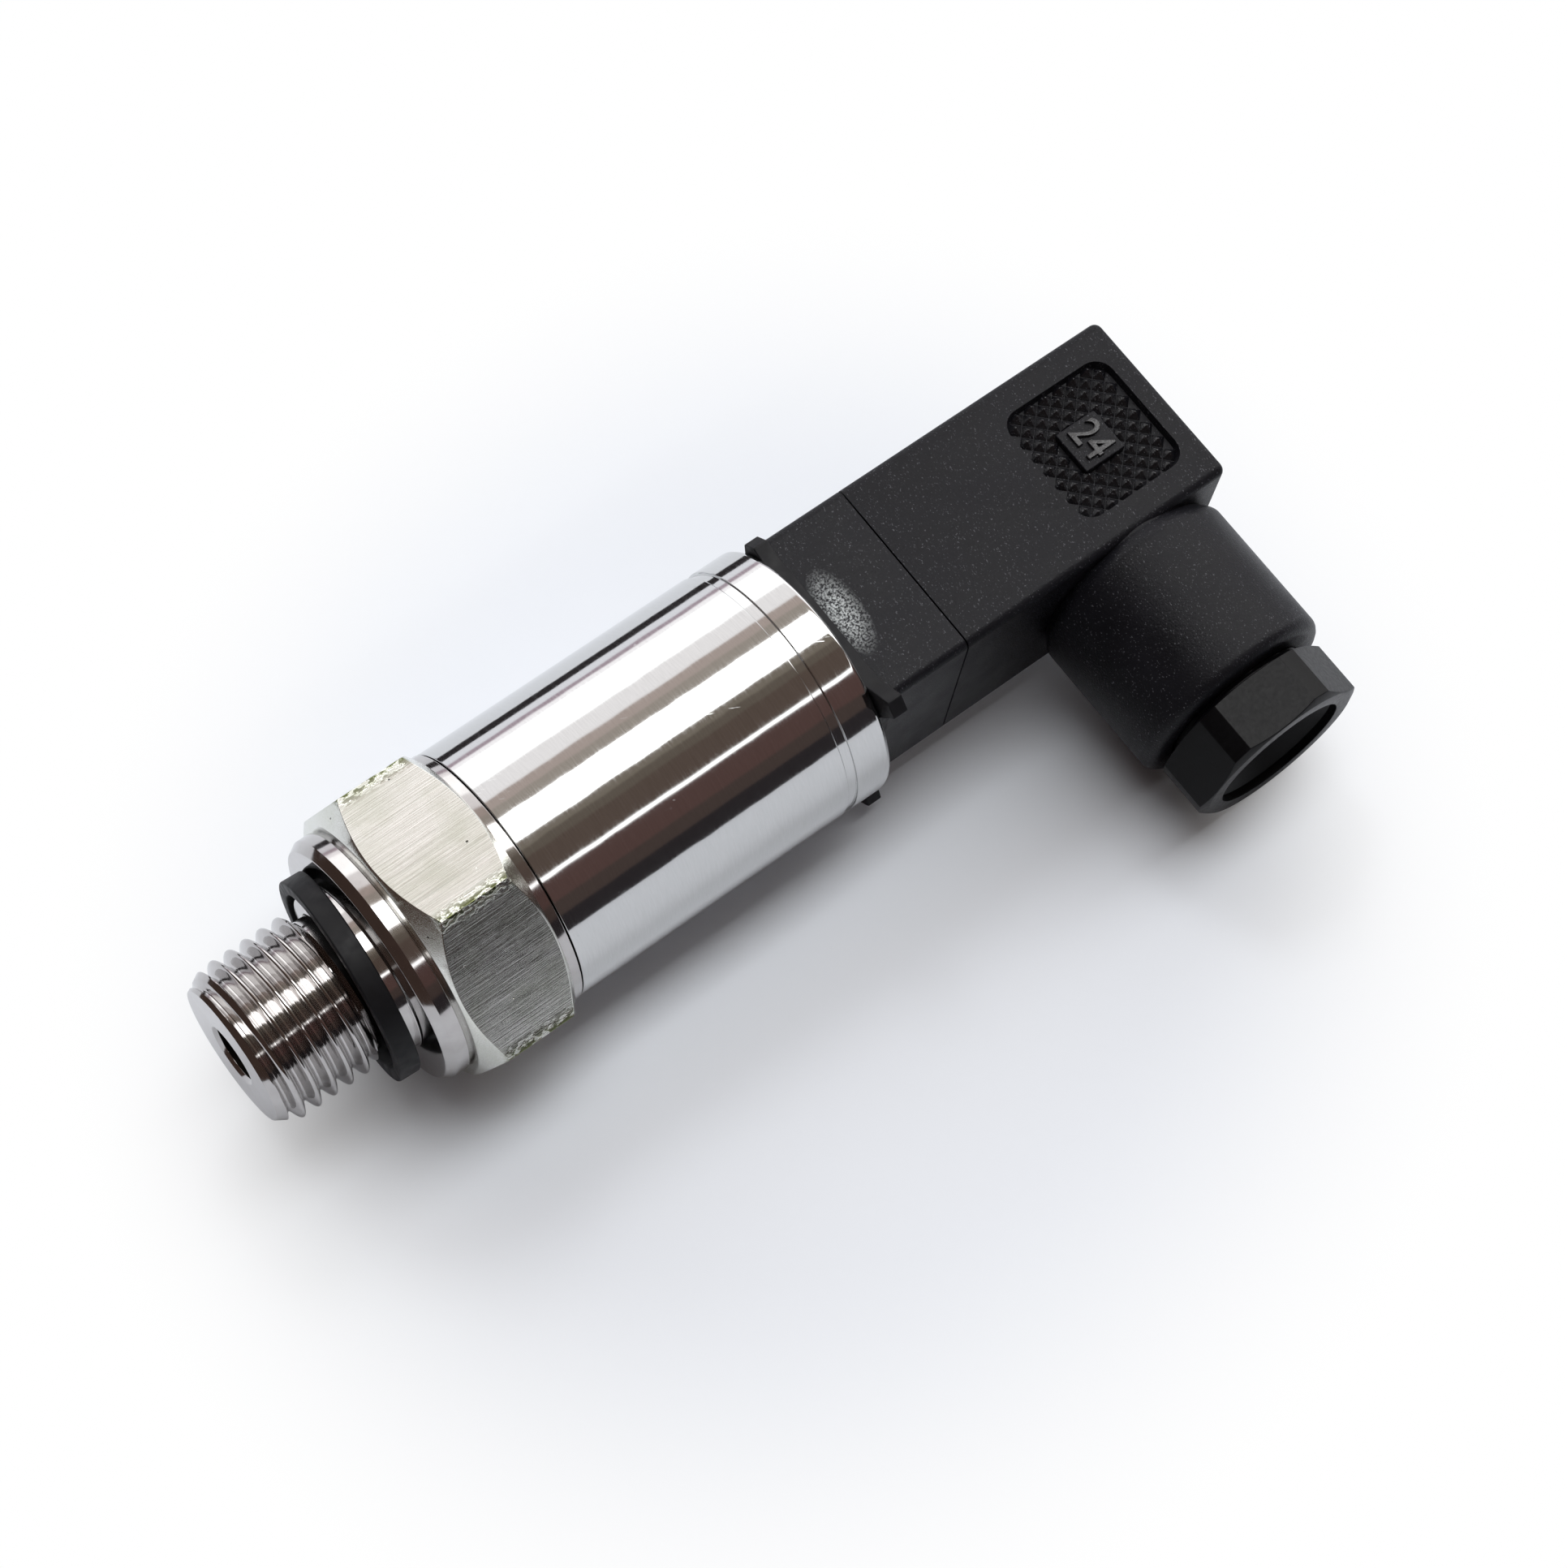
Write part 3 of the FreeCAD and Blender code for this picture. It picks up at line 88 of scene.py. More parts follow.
def roundedPath(points, closed=True, steps=4):
    # corners (x, y, radius) to a list of (x, y) with an arc at each corner
    path = []
    count = len(points)
    for index, (x, y, radius) in enumerate(points):
        corner = Vector((x, y))
        if radius <= 0 or (not closed and index in (0, count - 1)):
            path.append((x, y))
            continue
        before = Vector(points[index - 1][:2]) - corner
        after = Vector(points[(index + 1) % count][:2]) - corner
        turn = before.angle(after)
        reach = min(radius / math.tan(turn / 2), before.length * 0.49, after.length * 0.49)
        start = corner + before.normalized() * reach
        end = corner + after.normalized() * reach
        middle = corner + (before.normalized() + after.normalized()).normalized() * (
            reach / math.cos(turn / 2))
        for step in range(steps + 1):
            share = step / steps
            spoke = (start - middle).lerp(end - middle, share).normalized()
            path.append(tuple(middle + spoke * (start - middle).length))
    return path


def turnedMesh(name, path, closed=True, segments=256):
    # turns a path of (x, radius) round the x axis
    mesh = bmesh.new()
    rings = []
    for x, radius in path:
        if radius < 1e-6:
            rings.append([mesh.verts.new((x, 0, 0))])
            continue
        ring = []
        for step in range(segments):
            angle = 2 * math.pi * step / segments
            ring.append(mesh.verts.new((x, radius * math.cos(angle), radius * math.sin(angle))))
        rings.append(ring)
    pairs = list(zip(rings, rings[1:]))
    if closed:
        pairs.append((rings[-1], rings[0]))
    for low, high in pairs:
        if len(low) == 1 and len(high) == 1:
            continue
        for step in range(segments):
            after = (step + 1) % segments
            corners = [low[step % len(low)], low[after % len(low)],
                       high[after % len(high)], high[step % len(high)]]
            mesh.faces.new(list(dict.fromkeys(corners)))
    bmesh.ops.recalc_face_normals(mesh, faces=mesh.faces)
    data = bpy.data.meshes.new(name)
    mesh.to_mesh(data)
    mesh.free()
    return data


def applied(data, *modifiers):
    # the mesh with modifiers applied, each given as (kind, settings)
    holder = bpy.data.objects.new("holder", data)
    bpy.context.scene.collection.objects.link(holder)
    for kind, settings in modifiers:
        modifier = holder.modifiers.new(kind, kind)
        for name, value in settings.items():
            setattr(modifier, name, value)
    bpy.context.view_layer.update()
    depsgraph = bpy.context.evaluated_depsgraph_get()
    result = bpy.data.meshes.new_from_object(holder.evaluated_get(depsgraph))
    bpy.data.objects.remove(holder)
    return result


def softened(data, width=0.06, angle=25, segments=2):
    # small round on every edge sharper than the angle
    return applied(data, ("BEVEL", {
        "width": width, "segments": segments, "limit_method": "ANGLE",
        "angle_limit": math.radians(angle), "use_clamp_overlap": True}))


def addPiece(name, data, material, body, replaces=(), place=None, smooth=35):
    # puts a finished mesh, given in millimetres, where the CAD model has it
    data.transform(toWorld @ (place or Matrix()))
    data.materials.clear()
    data.materials.append(material)
    data.shade_smooth()
    data.set_sharp_from_angle(angle=math.radians(smooth))
    # large faces keep their own normals, so the narrow rounds beside them don't bend reflections
    data = applied(data, ("WEIGHTED_NORMAL", {"keep_sharp": True, "weight": 90}))
    data.name = name
    piece = bpy.data.objects.new(name, data)
    bpy.context.scene.collection.objects.link(piece)
    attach(piece, body)
    if replaces:
        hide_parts(*replaces)
    return piece


def fromCad(node, merge=1e-6):
    # a copy of a CAD node's mesh in millimetres, with its loose triangles joined
    data = frame["nodes"][node].data.copy()
    data.transform(toWorld.inverted())
    mesh = bmesh.new()
    mesh.from_mesh(data)
    bmesh.ops.remove_doubles(mesh, verts=mesh.verts, dist=merge * 1000)
    bmesh.ops.dissolve_limit(mesh, angle_limit=math.radians(0.3), verts=mesh.verts,
                             edges=mesh.edges)
    mesh.to_mesh(data)
    mesh.free()
    return data


def newMaterial(name):
    material = bpy.data.materials.new(name)
    material.use_nodes = True
    tree = material.node_tree
    tree.nodes.clear()
    shader = addNode(tree, "ShaderNodeBsdfPrincipled")
    addNode(tree, "ShaderNodeOutputMaterial", {"Surface": shader})
    return material, tree, shader


def connect(tree, shader, tone, rough, skin, metallic=0.0):
    # a finish's colour, roughness and skin, joined to its shader
    tree.links.new(tone.outputs[2], shader.inputs["Base Color"])
    tree.links.new(rough.outputs[0], shader.inputs["Roughness"])
    tree.links.new(skin.outputs[0], shader.inputs["Normal"])
    shader.inputs["Metallic"].default_value = metallic


def millimetres(tree, stretch=(1, 1, 1)):
    # place on the object in the transmitter's own millimetres, stretched per axis
    coords = addNode(tree, "ShaderNodeTexCoord")
    onBody = addNode(tree, "ShaderNodeMapping", {
        "Vector": coords.outputs["Object"], "Location": lay.translation,
        "Rotation": lay.to_euler(), "Scale": (0.001, 0.001, 0.001)}, vector_type="TEXTURE")
    return addNode(tree, "ShaderNodeVectorMath", {0: onBody, 1: stretch}, operation="MULTIPLY")


# AISI 304 tube, drawn and buffed round: near-mirror with a fine haze of polishing lines round
# the tube and faint handling scratches
tubeSteel, tree, shader = newMaterial("buffedStainlessTube")
lines = addNode(tree, "ShaderNodeTexNoise", {  # polishing lines, about 0.1 mm apart
    "Vector": millimetres(tree, (9, 0.7, 0.7)), "Scale": 1.0, "Detail": 4.0})
ripple = addNode(tree, "ShaderNodeTexNoise", {  # slow waviness of the tube wall
    "Vector": millimetres(tree, (0.35, 0.5, 0.5)), "Scale": 1.0, "Detail": 1.0})
slanting = addNode(tree, "ShaderNodeVectorRotate", {
    "Vector": millimetres(tree), "Axis": (0, 0, 1), "Angle": 0.5})
hairs = addNode(tree, "ShaderNodeTexNoise", {  # slanting hairline scratches, 3 mm long
    "Vector": addNode(tree, "ShaderNodeVectorMath", {0: slanting, 1: (0.3, 7, 7)},
                      operation="MULTIPLY"), "Scale": 1.0, "Detail": 1.0})
hair = addNode(tree, "ShaderNodeMapRange", {
    "Value": hairs, "From Min": 0.7, "From Max": 0.76})
rubbed = addNode(tree, "ShaderNodeTexNoise", {
    "Vector": millimetres(tree, (0.25, 0.25, 0.25)), "Scale": 1.0, "Detail": 2.0})
patch = addNode(tree, "ShaderNodeMapRange", {"Value": rubbed, "From Min": 0.56, "From Max": 0.66})
scratch = addNode(tree, "ShaderNodeMath", {0: hair, 1: patch}, operation="MULTIPLY")
tone = addNode(tree, "ShaderNodeMix", {
    0: lines, 6: linear("#c5c6c6"), 7: linear("#d6d7d7")}, data_type="RGBA")
haze = addNode(tree, "ShaderNodeMapRange", {
    "Value": lines, "From Min": 0.3, "From Max": 0.7, "To Min": 0.05, "To Max": 0.1})
rough = addNode(tree, "ShaderNodeMath", {0: scratch, 1: 0.16, 2: haze}, operation="MULTIPLY_ADD")
skin = addNode(tree, "ShaderNodeBump", {"Height": lines, "Distance": 0.0006 / 1000})
skin = addNode(tree, "ShaderNodeBump", {
    "Height": ripple, "Distance": 0.01 / 1000, "Normal": skin})
skin = addNode(tree, "ShaderNodeBump", {
    "Height": scratch, "Distance": -0.0015 / 1000, "Normal": skin})
connect(tree, shader, tone, rough, skin, 1.0)

# AISI 316L bar, finish turned: bright, with tool lines round the axis
barSteel, tree, shader = newMaterial("turnedStainlessBar")
lines = addNode(tree, "ShaderNodeTexNoise", {  # tool feed, about 0.05 mm
    "Vector": millimetres(tree, (22, 0.05, 0.05)), "Scale": 1.0, "Detail": 2.0})
cloud = addNode(tree, "ShaderNodeTexNoise", {
    "Vector": millimetres(tree, (0.8, 0.8, 0.8)), "Scale": 1.0, "Detail": 3.0})
tone = addNode(tree, "ShaderNodeMix", {
    0: cloud, 6: linear("#b2afae"), 7: linear("#cbc9c8")}, data_type="RGBA")
rough = addNode(tree, "ShaderNodeMapRange", {
    "Value": lines, "From Min": 0.3, "From Max": 0.7, "To Min": 0.07, "To Max": 0.13})
skin = addNode(tree, "ShaderNodeBump", {"Height": lines, "Distance": 0.001 / 1000})
connect(tree, shader, tone, rough, skin, 1.0)

# AISI 316L hexagon, drawn and linished along the bar: pale satin with lengthwise lines and
# small nicks that break it up
hexSteel, tree, shader = newMaterial("linishedStainlessHexagon")
lines = addNode(tree, "ShaderNodeTexNoise", {  # linishing lines, 0.1 mm apart
    "Vector": millimetres(tree, (0.14, 11, 11)), "Scale": 1.0, "Detail": 5.0,
    "Roughness": 0.65})
broad = addNode(tree, "ShaderNodeTexNoise", {
    "Vector": millimetres(tree, (0.12, 2.4, 2.4)), "Scale": 1.0, "Detail": 3.0})
cloud = addNode(tree, "ShaderNodeTexNoise", {
    "Vector": millimetres(tree, (0.3, 0.3, 0.3)), "Scale": 1.0, "Detail": 4.0})
cells = addNode(tree, "ShaderNodeTexVoronoi", {
    "Vector": millimetres(tree, (0.42, 0.5, 0.5)), "Scale": 1.0})
nick = addNode(tree, "ShaderNodeMapRange", {
    "Value": cells, "From Min": 0.03, "From Max": 0.055, "To Min": 1.0, "To Max": 0.0})
contrast = addNode(tree, "ShaderNodeMapRange", {
    "Value": lines, "From Min": 0.36, "From Max": 0.64})
tone = addNode(tree, "ShaderNodeMix", {
    0: contrast, 6: linear("#d2d4cd"), 7: linear("#fafaf6")}, data_type="RGBA")
worn = addNode(tree, "ShaderNodeMapRange", {
    "Value": cloud, "From Min": 0.4, "From Max": 0.7, "To Max": 0.6})
tone = addNode(tree, "ShaderNodeMix", {
    0: worn, 6: tone.outputs[2], 7: linear("#cdd1c3")}, data_type="RGBA")
# rubbed corners, where dirt and burrs gather
split = addNode(tree, "ShaderNodeSeparateXYZ", {0: millimetres(tree)})
across = addNode(tree, "ShaderNodeCombineXYZ", {
    "Y": split.outputs["Y"], "Z": split.outputs["Z"]})
fromAxis = addNode(tree, "ShaderNodeVectorMath", {0: across}, operation="LENGTH")
corner = addNode(tree, "ShaderNodeMapRange", {
    "Value": fromAxis.outputs["Value"], "From Min": 13.3, "From Max": 13.8})
crumbs = addNode(tree, "ShaderNodeTexNoise", {
    "Vector": millimetres(tree, (1.6, 3, 3)), "Scale": 1.0, "Detail": 4.0})
crumb = addNode(tree, "ShaderNodeMapRange", {
    "Value": crumbs, "From Min": 0.42, "From Max": 0.55})
burr = addNode(tree, "ShaderNodeMath", {0: corner, 1: crumb}, operation="MULTIPLY")
tone = addNode(tree, "ShaderNodeMix", {
    0: burr, 6: tone.outputs[2], 7: linear("#6f7552")}, data_type="RGBA")
tone = addNode(tree, "ShaderNodeMix", {
    0: nick, 6: tone.outputs[2], 7: linear("#55534b")}, data_type="RGBA")
rough = addNode(tree, "ShaderNodeMapRange", {
    "Value": broad, "From Min": 0.3, "From Max": 0.7, "To Min": 0.14, "To Max": 0.22})
skin = addNode(tree, "ShaderNodeBump", {"Height": lines, "Distance": 0.009 / 1000})
skin = addNode(tree, "ShaderNodeBump", {
    "Height": burr, "Distance": 0.03 / 1000, "Normal": skin})
skin = addNode(tree, "ShaderNodeBump", {
    "Height": nick, "Distance": -0.05 / 1000, "Normal": skin})
connect(tree, shader, tone, rough, skin, 1.0)


def filledNylon(name, dark, light, glossLow, glossHigh, highlightPatch=None, mirror=0.14):
    # PA66 with glass fibre, moulded against an eroded tool: charcoal, with slightly cloudy gloss
    # and paler fibre ends at the surface, whose pale colour is partly a painted glint; the sixth
    # argument gives the middle and half sizes of a pale patch painted on as a highlight
    material, tree, shader = newMaterial(name)
    cloud = addNode(tree, "ShaderNodeTexNoise", {
        "Vector": millimetres(tree, (0.25, 0.25, 0.25)), "Scale": 1.0, "Detail": 3.0})
    grain = addNode(tree, "ShaderNodeTexNoise", {  # tool texture, 0.2 mm
        "Vector": millimetres(tree, (5.5, 5.5, 5.5)), "Scale": 1.0, "Detail": 3.0,
        "Roughness": 0.6})
    fibres = addNode(tree, "ShaderNodeTexNoise", {  # fibre ends, 0.1 to 0.3 mm
        "Vector": millimetres(tree, (9, 5, 5)), "Scale": 1.0, "Detail": 2.0})
    fibreEndsAndGlint = addNode(tree, "ShaderNodeMapRange", {
        "Value": fibres, "From Min": 0.64, "From Max": 0.73, "To Max": 0.6})
    tone = addNode(tree, "ShaderNodeMix", {
        0: cloud, 6: linear(dark), 7: linear(light)}, data_type="RGBA")
    # paler fibre ends; their pale colour is partly a painted glint
    tone = addNode(tree, "ShaderNodeMix", {
        0: fibreEndsAndGlint, 6: tone.outputs[2], 7: linear("#6d6e74")}, data_type="RGBA")
    if highlightPatch:
        fromHighlightPatch = addNode(tree, "ShaderNodeMapping", {
            "Vector": millimetres(tree), "Location": highlightPatch[0], "Rotation": (0, 0, -0.06),
            "Scale": highlightPatch[1]}, vector_type="TEXTURE")
        away = addNode(tree, "ShaderNodeVectorMath", {0: fromHighlightPatch}, operation="LENGTH")
        near = addNode(tree, "ShaderNodeMapRange", {
            "Value": away.outputs["Value"], "From Min": 0.25, "From Max": 1.0, "To Min": 1.0,
            "To Max": 0.0})
        highlightGrain = addNode(tree, "ShaderNodeMapRange", {
            "Value": grain, "From Min": 0.42, "From Max": 0.6})
        pale = addNode(tree, "ShaderNodeMath", {0: near, 1: highlightGrain}, operation="MULTIPLY")
        # a pale patch painted on as a highlight, broken up by the tool grain
        tone = addNode(tree, "ShaderNodeMix", {
            0: pale, 6: tone.outputs[2], 7: linear("#b4b9ba")}, data_type="RGBA")
    gloss = addNode(tree, "ShaderNodeMapRange", {
        "Value": cloud, "From Min": 0.3, "From Max": 0.7, "To Min": glossLow,
        "To Max": glossHigh})
    rough = addNode(tree, "ShaderNodeMath", {0: fibreEndsAndGlint, 1: -0.3, 2: gloss},
                    operation="MULTIPLY_ADD")
    skin = addNode(tree, "ShaderNodeBump", {"Height": grain, "Distance": 0.05 / 1000})
    connect(tree, shader, tone, rough, skin)
    shader.inputs["Specular IOR Level"].default_value = mirror
    return material


def plainFinish(name, dark, light, low, high, grainSize=0.8, metallic=0.0, gloss=0.5, depth=0.01):
    # one even finish with a faint cloud; grainSize in grains per millimetre
    material, tree, shader = newMaterial(name)
    cloud = addNode(tree, "ShaderNodeTexNoise", {
        "Vector": millimetres(tree, (grainSize, grainSize, grainSize)), "Scale": 1.0,
        "Detail": 4.0})
    tone = addNode(tree, "ShaderNodeMix", {
        0: cloud, 6: linear(dark), 7: linear(light)}, data_type="RGBA")
    rough = addNode(tree, "ShaderNodeMapRange", {
        "Value": cloud, "From Min": 0.3, "From Max": 0.7, "To Min": low, "To Max": high})
    skin = addNode(tree, "ShaderNodeBump", {"Height": cloud, "Distance": depth / 1000})
    connect(tree, shader, tone, rough, skin, metallic)
    shader.inputs["Specular IOR Level"].default_value = gloss
    return material


plugNylon = filledNylon("glassFilledNylon", "#0e0e11", "#1a1a1f", 0.34, 0.46)
patternNylon = filledNylon("glassFilledNylonPattern", "#0e0e11", "#18181c", 0.22, 0.3, mirror=0.6)
# the insert gets a pale patch on its top, a painted highlight
carrierNylon = filledNylon("glassFilledNylonInsert", "#0d0d11", "#1a1a1f", 0.28, 0.42,
                           ((58.7, -0.3, 8.5), (1.9, 4.4, 1.5)))
# unfilled PA6, moulded against a fine satin tool: black, even, softly glossy
glandNylon = plainFinish("satinBlackNylon", "#070708", "#0e0e10", 0.3, 0.4, 3.0, gloss=0.13)
# NBR 70, punched and moulded: dull black with a dry bloom
rubber = plainFinish("nitrileRubber", "#0a0a0c", "#141418", 0.42, 0.6, 1.2, gloss=0.22)
# tin on brass blades: pale and slightly uneven
tinnedBrass = plainFinish("tinPlatedBrass", "#b9b6ae", "#d5d2ca", 0.2, 0.32, 1.5, 1.0)
bareBrass = plainFinish("turnedBrass", "#b08d4a", "#cdab66", 0.2, 0.35, 1.5, 1.0)
# zinc plate on steel screws: cool and faintly cloudy
zincSteel = plainFinish("zincPlatedSteel", "#a9abb0", "#c9ccd0", 0.22, 0.38, 1.5, 1.0)
boardGreen = plainFinish("solderMaskGreen", "#123d22", "#1b5230", 0.3, 0.45)
palePlastic = plainFinish("naturalNylon", "#c9c4b4", "#dad6c8", 0.4, 0.55)
print("materials made")

thread = {  # M14 x 1.5, in millimetres
    "pitch": 1.5, "turns": 8.0, "crest": 7.0, "root": 6.0, "tip": 6.0, "leadIn": 1.7,
    "rearRadius": 5.95, "runOut": 0.8, "length": 9.6, "steps": 150}


def threadTree():
    # Geometry Nodes: a sheet one pitch wide is wound round +z, so that each turn meets the next.
    # Its section is a V with rounded crest and root, and cones at both ends cut it down.
    tree = bpy.data.node_groups.new("screwThread", "GeometryNodeTree")
    face = tree.interface
    for name in ("Pitch", "Turns", "Crest Radius", "Root Radius", "Tip Radius", "Lead In",
                 "Rear Radius", "Run Out", "Length"):
        face.new_socket(name, in_out="INPUT", socket_type="NodeSocketFloat")
    face.new_socket("Steps", in_out="INPUT", socket_type="NodeSocketInt")
    face.new_socket("Material", in_out="INPUT", socket_type="NodeSocketMaterial")
    face.new_socket("Geometry", in_out="OUTPUT", socket_type="NodeSocketGeometry")
    given = addNode(tree, "NodeGroupInput").outputs
    mathNode = "ShaderNodeMath"
    grid = addNode(tree, "GeometryNodeMeshGrid", {
        "Size X": 1.0, "Size Y": 1.0, "Vertices X": given["Steps"], "Vertices Y": 25})
    split = addNode(tree, "ShaderNodeSeparateXYZ", {
        0: addNode(tree, "GeometryNodeInputPosition")})
    along = addNode(tree, mathNode, {0: split.outputs["X"], 1: 0.5}, operation="ADD")
    across = split.outputs["Y"]
    turned = addNode(tree, mathNode, {0: along, 1: given["Turns"]}, operation="MULTIPLY")
    started = addNode(tree, mathNode, {0: turned, 1: 0.5}, operation="SUBTRACT")
    lifted = addNode(tree, mathNode, {0: started, 1: across}, operation="ADD")
    height = addNode(tree, mathNode, {0: lifted, 1: given["Pitch"]}, operation="MULTIPLY")
    height = addNode(tree, mathNode, {0: height, 1: 0.0}, operation="MAXIMUM")
    height = addNode(tree, mathNode, {0: height, 1: given["Length"]}, operation="MINIMUM")
    # from crest to root, seen from the middle of the crest
    away = addNode(tree, mathNode, {0: across}, operation="ABSOLUTE")
    radius = addNode(tree, "ShaderNodeMapRange", {
        "Value": away, "From Min": 0.02, "From Max": 0.47, "To Min": given["Crest Radius"],
        "To Max": given["Root Radius"]}, interpolation_type="SMOOTHSTEP")
    frontCone = addNode(tree, "ShaderNodeMapRange", {
        "Value": height, "From Min": 0.0, "From Max": given["Lead In"],
        "To Min": given["Tip Radius"], "To Max": given["Crest Radius"]})
    fromRear = addNode(tree, mathNode, {0: given["Length"], 1: height}, operation="SUBTRACT")
    rearCone = addNode(tree, "ShaderNodeMapRange", {
        "Value": fromRear, "From Min": 0.0, "From Max": given["Run Out"],
        "To Min": given["Rear Radius"], "To Max": given["Crest Radius"]})
    radius = addNode(tree, mathNode, {0: radius, 1: frontCone}, operation="MINIMUM")
    radius = addNode(tree, mathNode, {0: radius, 1: rearCone}, operation="MINIMUM")
    angle = addNode(tree, mathNode, {0: turned, 1: 2 * math.pi}, operation="MULTIPLY")
    cosine = addNode(tree, mathNode, {0: angle}, operation="COSINE")
    sine = addNode(tree, mathNode, {0: angle}, operation="SINE")
    place = addNode(tree, "ShaderNodeCombineXYZ", {
        "X": addNode(tree, mathNode, {0: radius, 1: cosine}, operation="MULTIPLY"),
        "Y": addNode(tree, mathNode, {0: radius, 1: sine}, operation="MULTIPLY"),
        "Z": height})
    moved = addNode(tree, "GeometryNodeSetPosition", {
        "Geometry": grid.outputs["Mesh"], "Position": place})
    joined = addNode(tree, "GeometryNodeMergeByDistance", {"Geometry": moved, "Distance": 0.002})
    dressed = addNode(tree, "GeometryNodeSetMaterial", {
        "Geometry": joined, "Material": given["Material"]})
    addNode(tree, "NodeGroupOutput", {"Geometry": dressed})
    return tree


def fromNodes(name, tree, values):
    # runs a Geometry Nodes tree with named inputs and returns the plain mesh
    holder = bpy.data.objects.new("holder", bpy.data.meshes.new(name))
    bpy.context.scene.collection.objects.link(holder)
    modifier = holder.modifiers.new("Nodes", "NODES")
    modifier.node_group = tree
    for item in tree.interface.items_tree:
        if item.item_type == "SOCKET" and item.in_out == "INPUT" and item.name in values:
            modifier[item.identifier] = values[item.name]
    bpy.context.view_layer.update()
    depsgraph = bpy.context.evaluated_depsgraph_get()
    data = bpy.data.meshes.new_from_object(holder.evaluated_get(depsgraph))
    holder.modifiers.remove(modifier)
    bpy.data.objects.remove(holder)
    return data


def threadMesh(name, tree, sizes, material):
    data = fromNodes(name, tree, {
        "Pitch": sizes["pitch"], "Turns": sizes["turns"], "Crest Radius": sizes["crest"],
        "Root Radius": sizes["root"], "Tip Radius": sizes["tip"], "Lead In": sizes["leadIn"],
        "Rear Radius": sizes["rearRadius"], "Run Out": sizes["runOut"],
        "Length": sizes["length"], "Steps": int(sizes["steps"] * sizes["turns"]) + 1,
        "Material": material})
    mesh = bmesh.new()
    mesh.from_mesh(data)
    bmesh.ops.dissolve_degenerate(mesh, dist=1e-4, edges=mesh.edges)
    bmesh.ops.recalc_face_normals(mesh, faces=mesh.faces)
    outward = sum(face.normal.dot(Vector((*face.calc_center_median()[:2], 0))) * face.calc_area()
                  for face in mesh.faces)
    if outward < 0:
        bmesh.ops.reverse_faces(mesh, faces=mesh.faces)
    mesh.to_mesh(data)
    mesh.free()
    return data


threads = threadTree()
addPiece("process_thread", threadMesh("process_thread", threads, thread, barSteel), barSteel,
         "transmitter", replaces=["process_connection"], place=ontoBody,
         smooth=40)

spigot = {  # stations along the body and radii of the turned forms
    "boreRadius": 2.4, "boreEdge": 0.3, "boreDepth": 16.0, "relief": 5.95, "neckFront": 10.9,
    "neck": 7.4, "collarFront": 12.6, "collarTip": 10.55, "collar": 11.05,
    "collarTaper": 0.8, "collarRear": 14.6, "groove": 10.65, "hexFront": 14.9}
s = spigot
outline = [
    (s["boreDepth"], 0, 0), (s["boreDepth"], s["boreRadius"], 0),
    (s["boreEdge"], s["boreRadius"], 0.05), (0, s["boreRadius"] + s["boreEdge"], 0.05),
    (0, thread["tip"], 0), (0.02, thread["tip"], 0), (0.1, thread["root"] - 0.3, 0),
    (thread["length"] - 0.1, thread["root"] - 0.3, 0), (thread["length"] - 0.02, s["relief"], 0),
    (s["neckFront"], s["relief"], 0.25), (s["neckFront"], s["neck"], 0.1),
    (s["collarFront"], s["neck"], 0.15), (s["collarFront"], s["collarTip"], 0.1),
    (s["collarFront"] + s["collarTaper"], s["collar"], 0.1), (s["collarRear"], s["collar"], 0.08),
    (s["collarRear"], s["groove"], 0.03), (s["hexFront"] + 0.6, s["groove"], 0),
    (s["hexFront"] + 2.0, s["groove"], 0), (s["hexFront"] + 2.0, 0, 0)]
addPiece("process_spigot", turnedMesh("process_spigot", roundedPath(outline, closed=False),
                                      closed=False),
         barSteel, "transmitter", smooth=30)

# the drilled bore is duller than the turned outside; its dark colour is painted shade for the
# inside of the bore
boreShadeSteel = plainFinish("drilledStainlessPaintedShade", "#171412", "#2a2623", 0.45, 0.6, 3.0, 1.0)
lining = [(s["boreEdge"] + 0.02, s["boreRadius"] - 0.02, 0), (15.98, s["boreRadius"] - 0.02, 0),
          (15.98, 0, 0)]
addPiece("port_wall", turnedMesh("port_wall", roundedPath(lining, closed=False), closed=False),
         boreShadeSteel, "transmitter", smooth=30)

hexagon = {"flats": 24.0, "front": 14.9, "rear": 24.2, "face": 11.7, "reach": 1.6,
           "turn": 18.5, "inner": 9.0, "columns": 24}


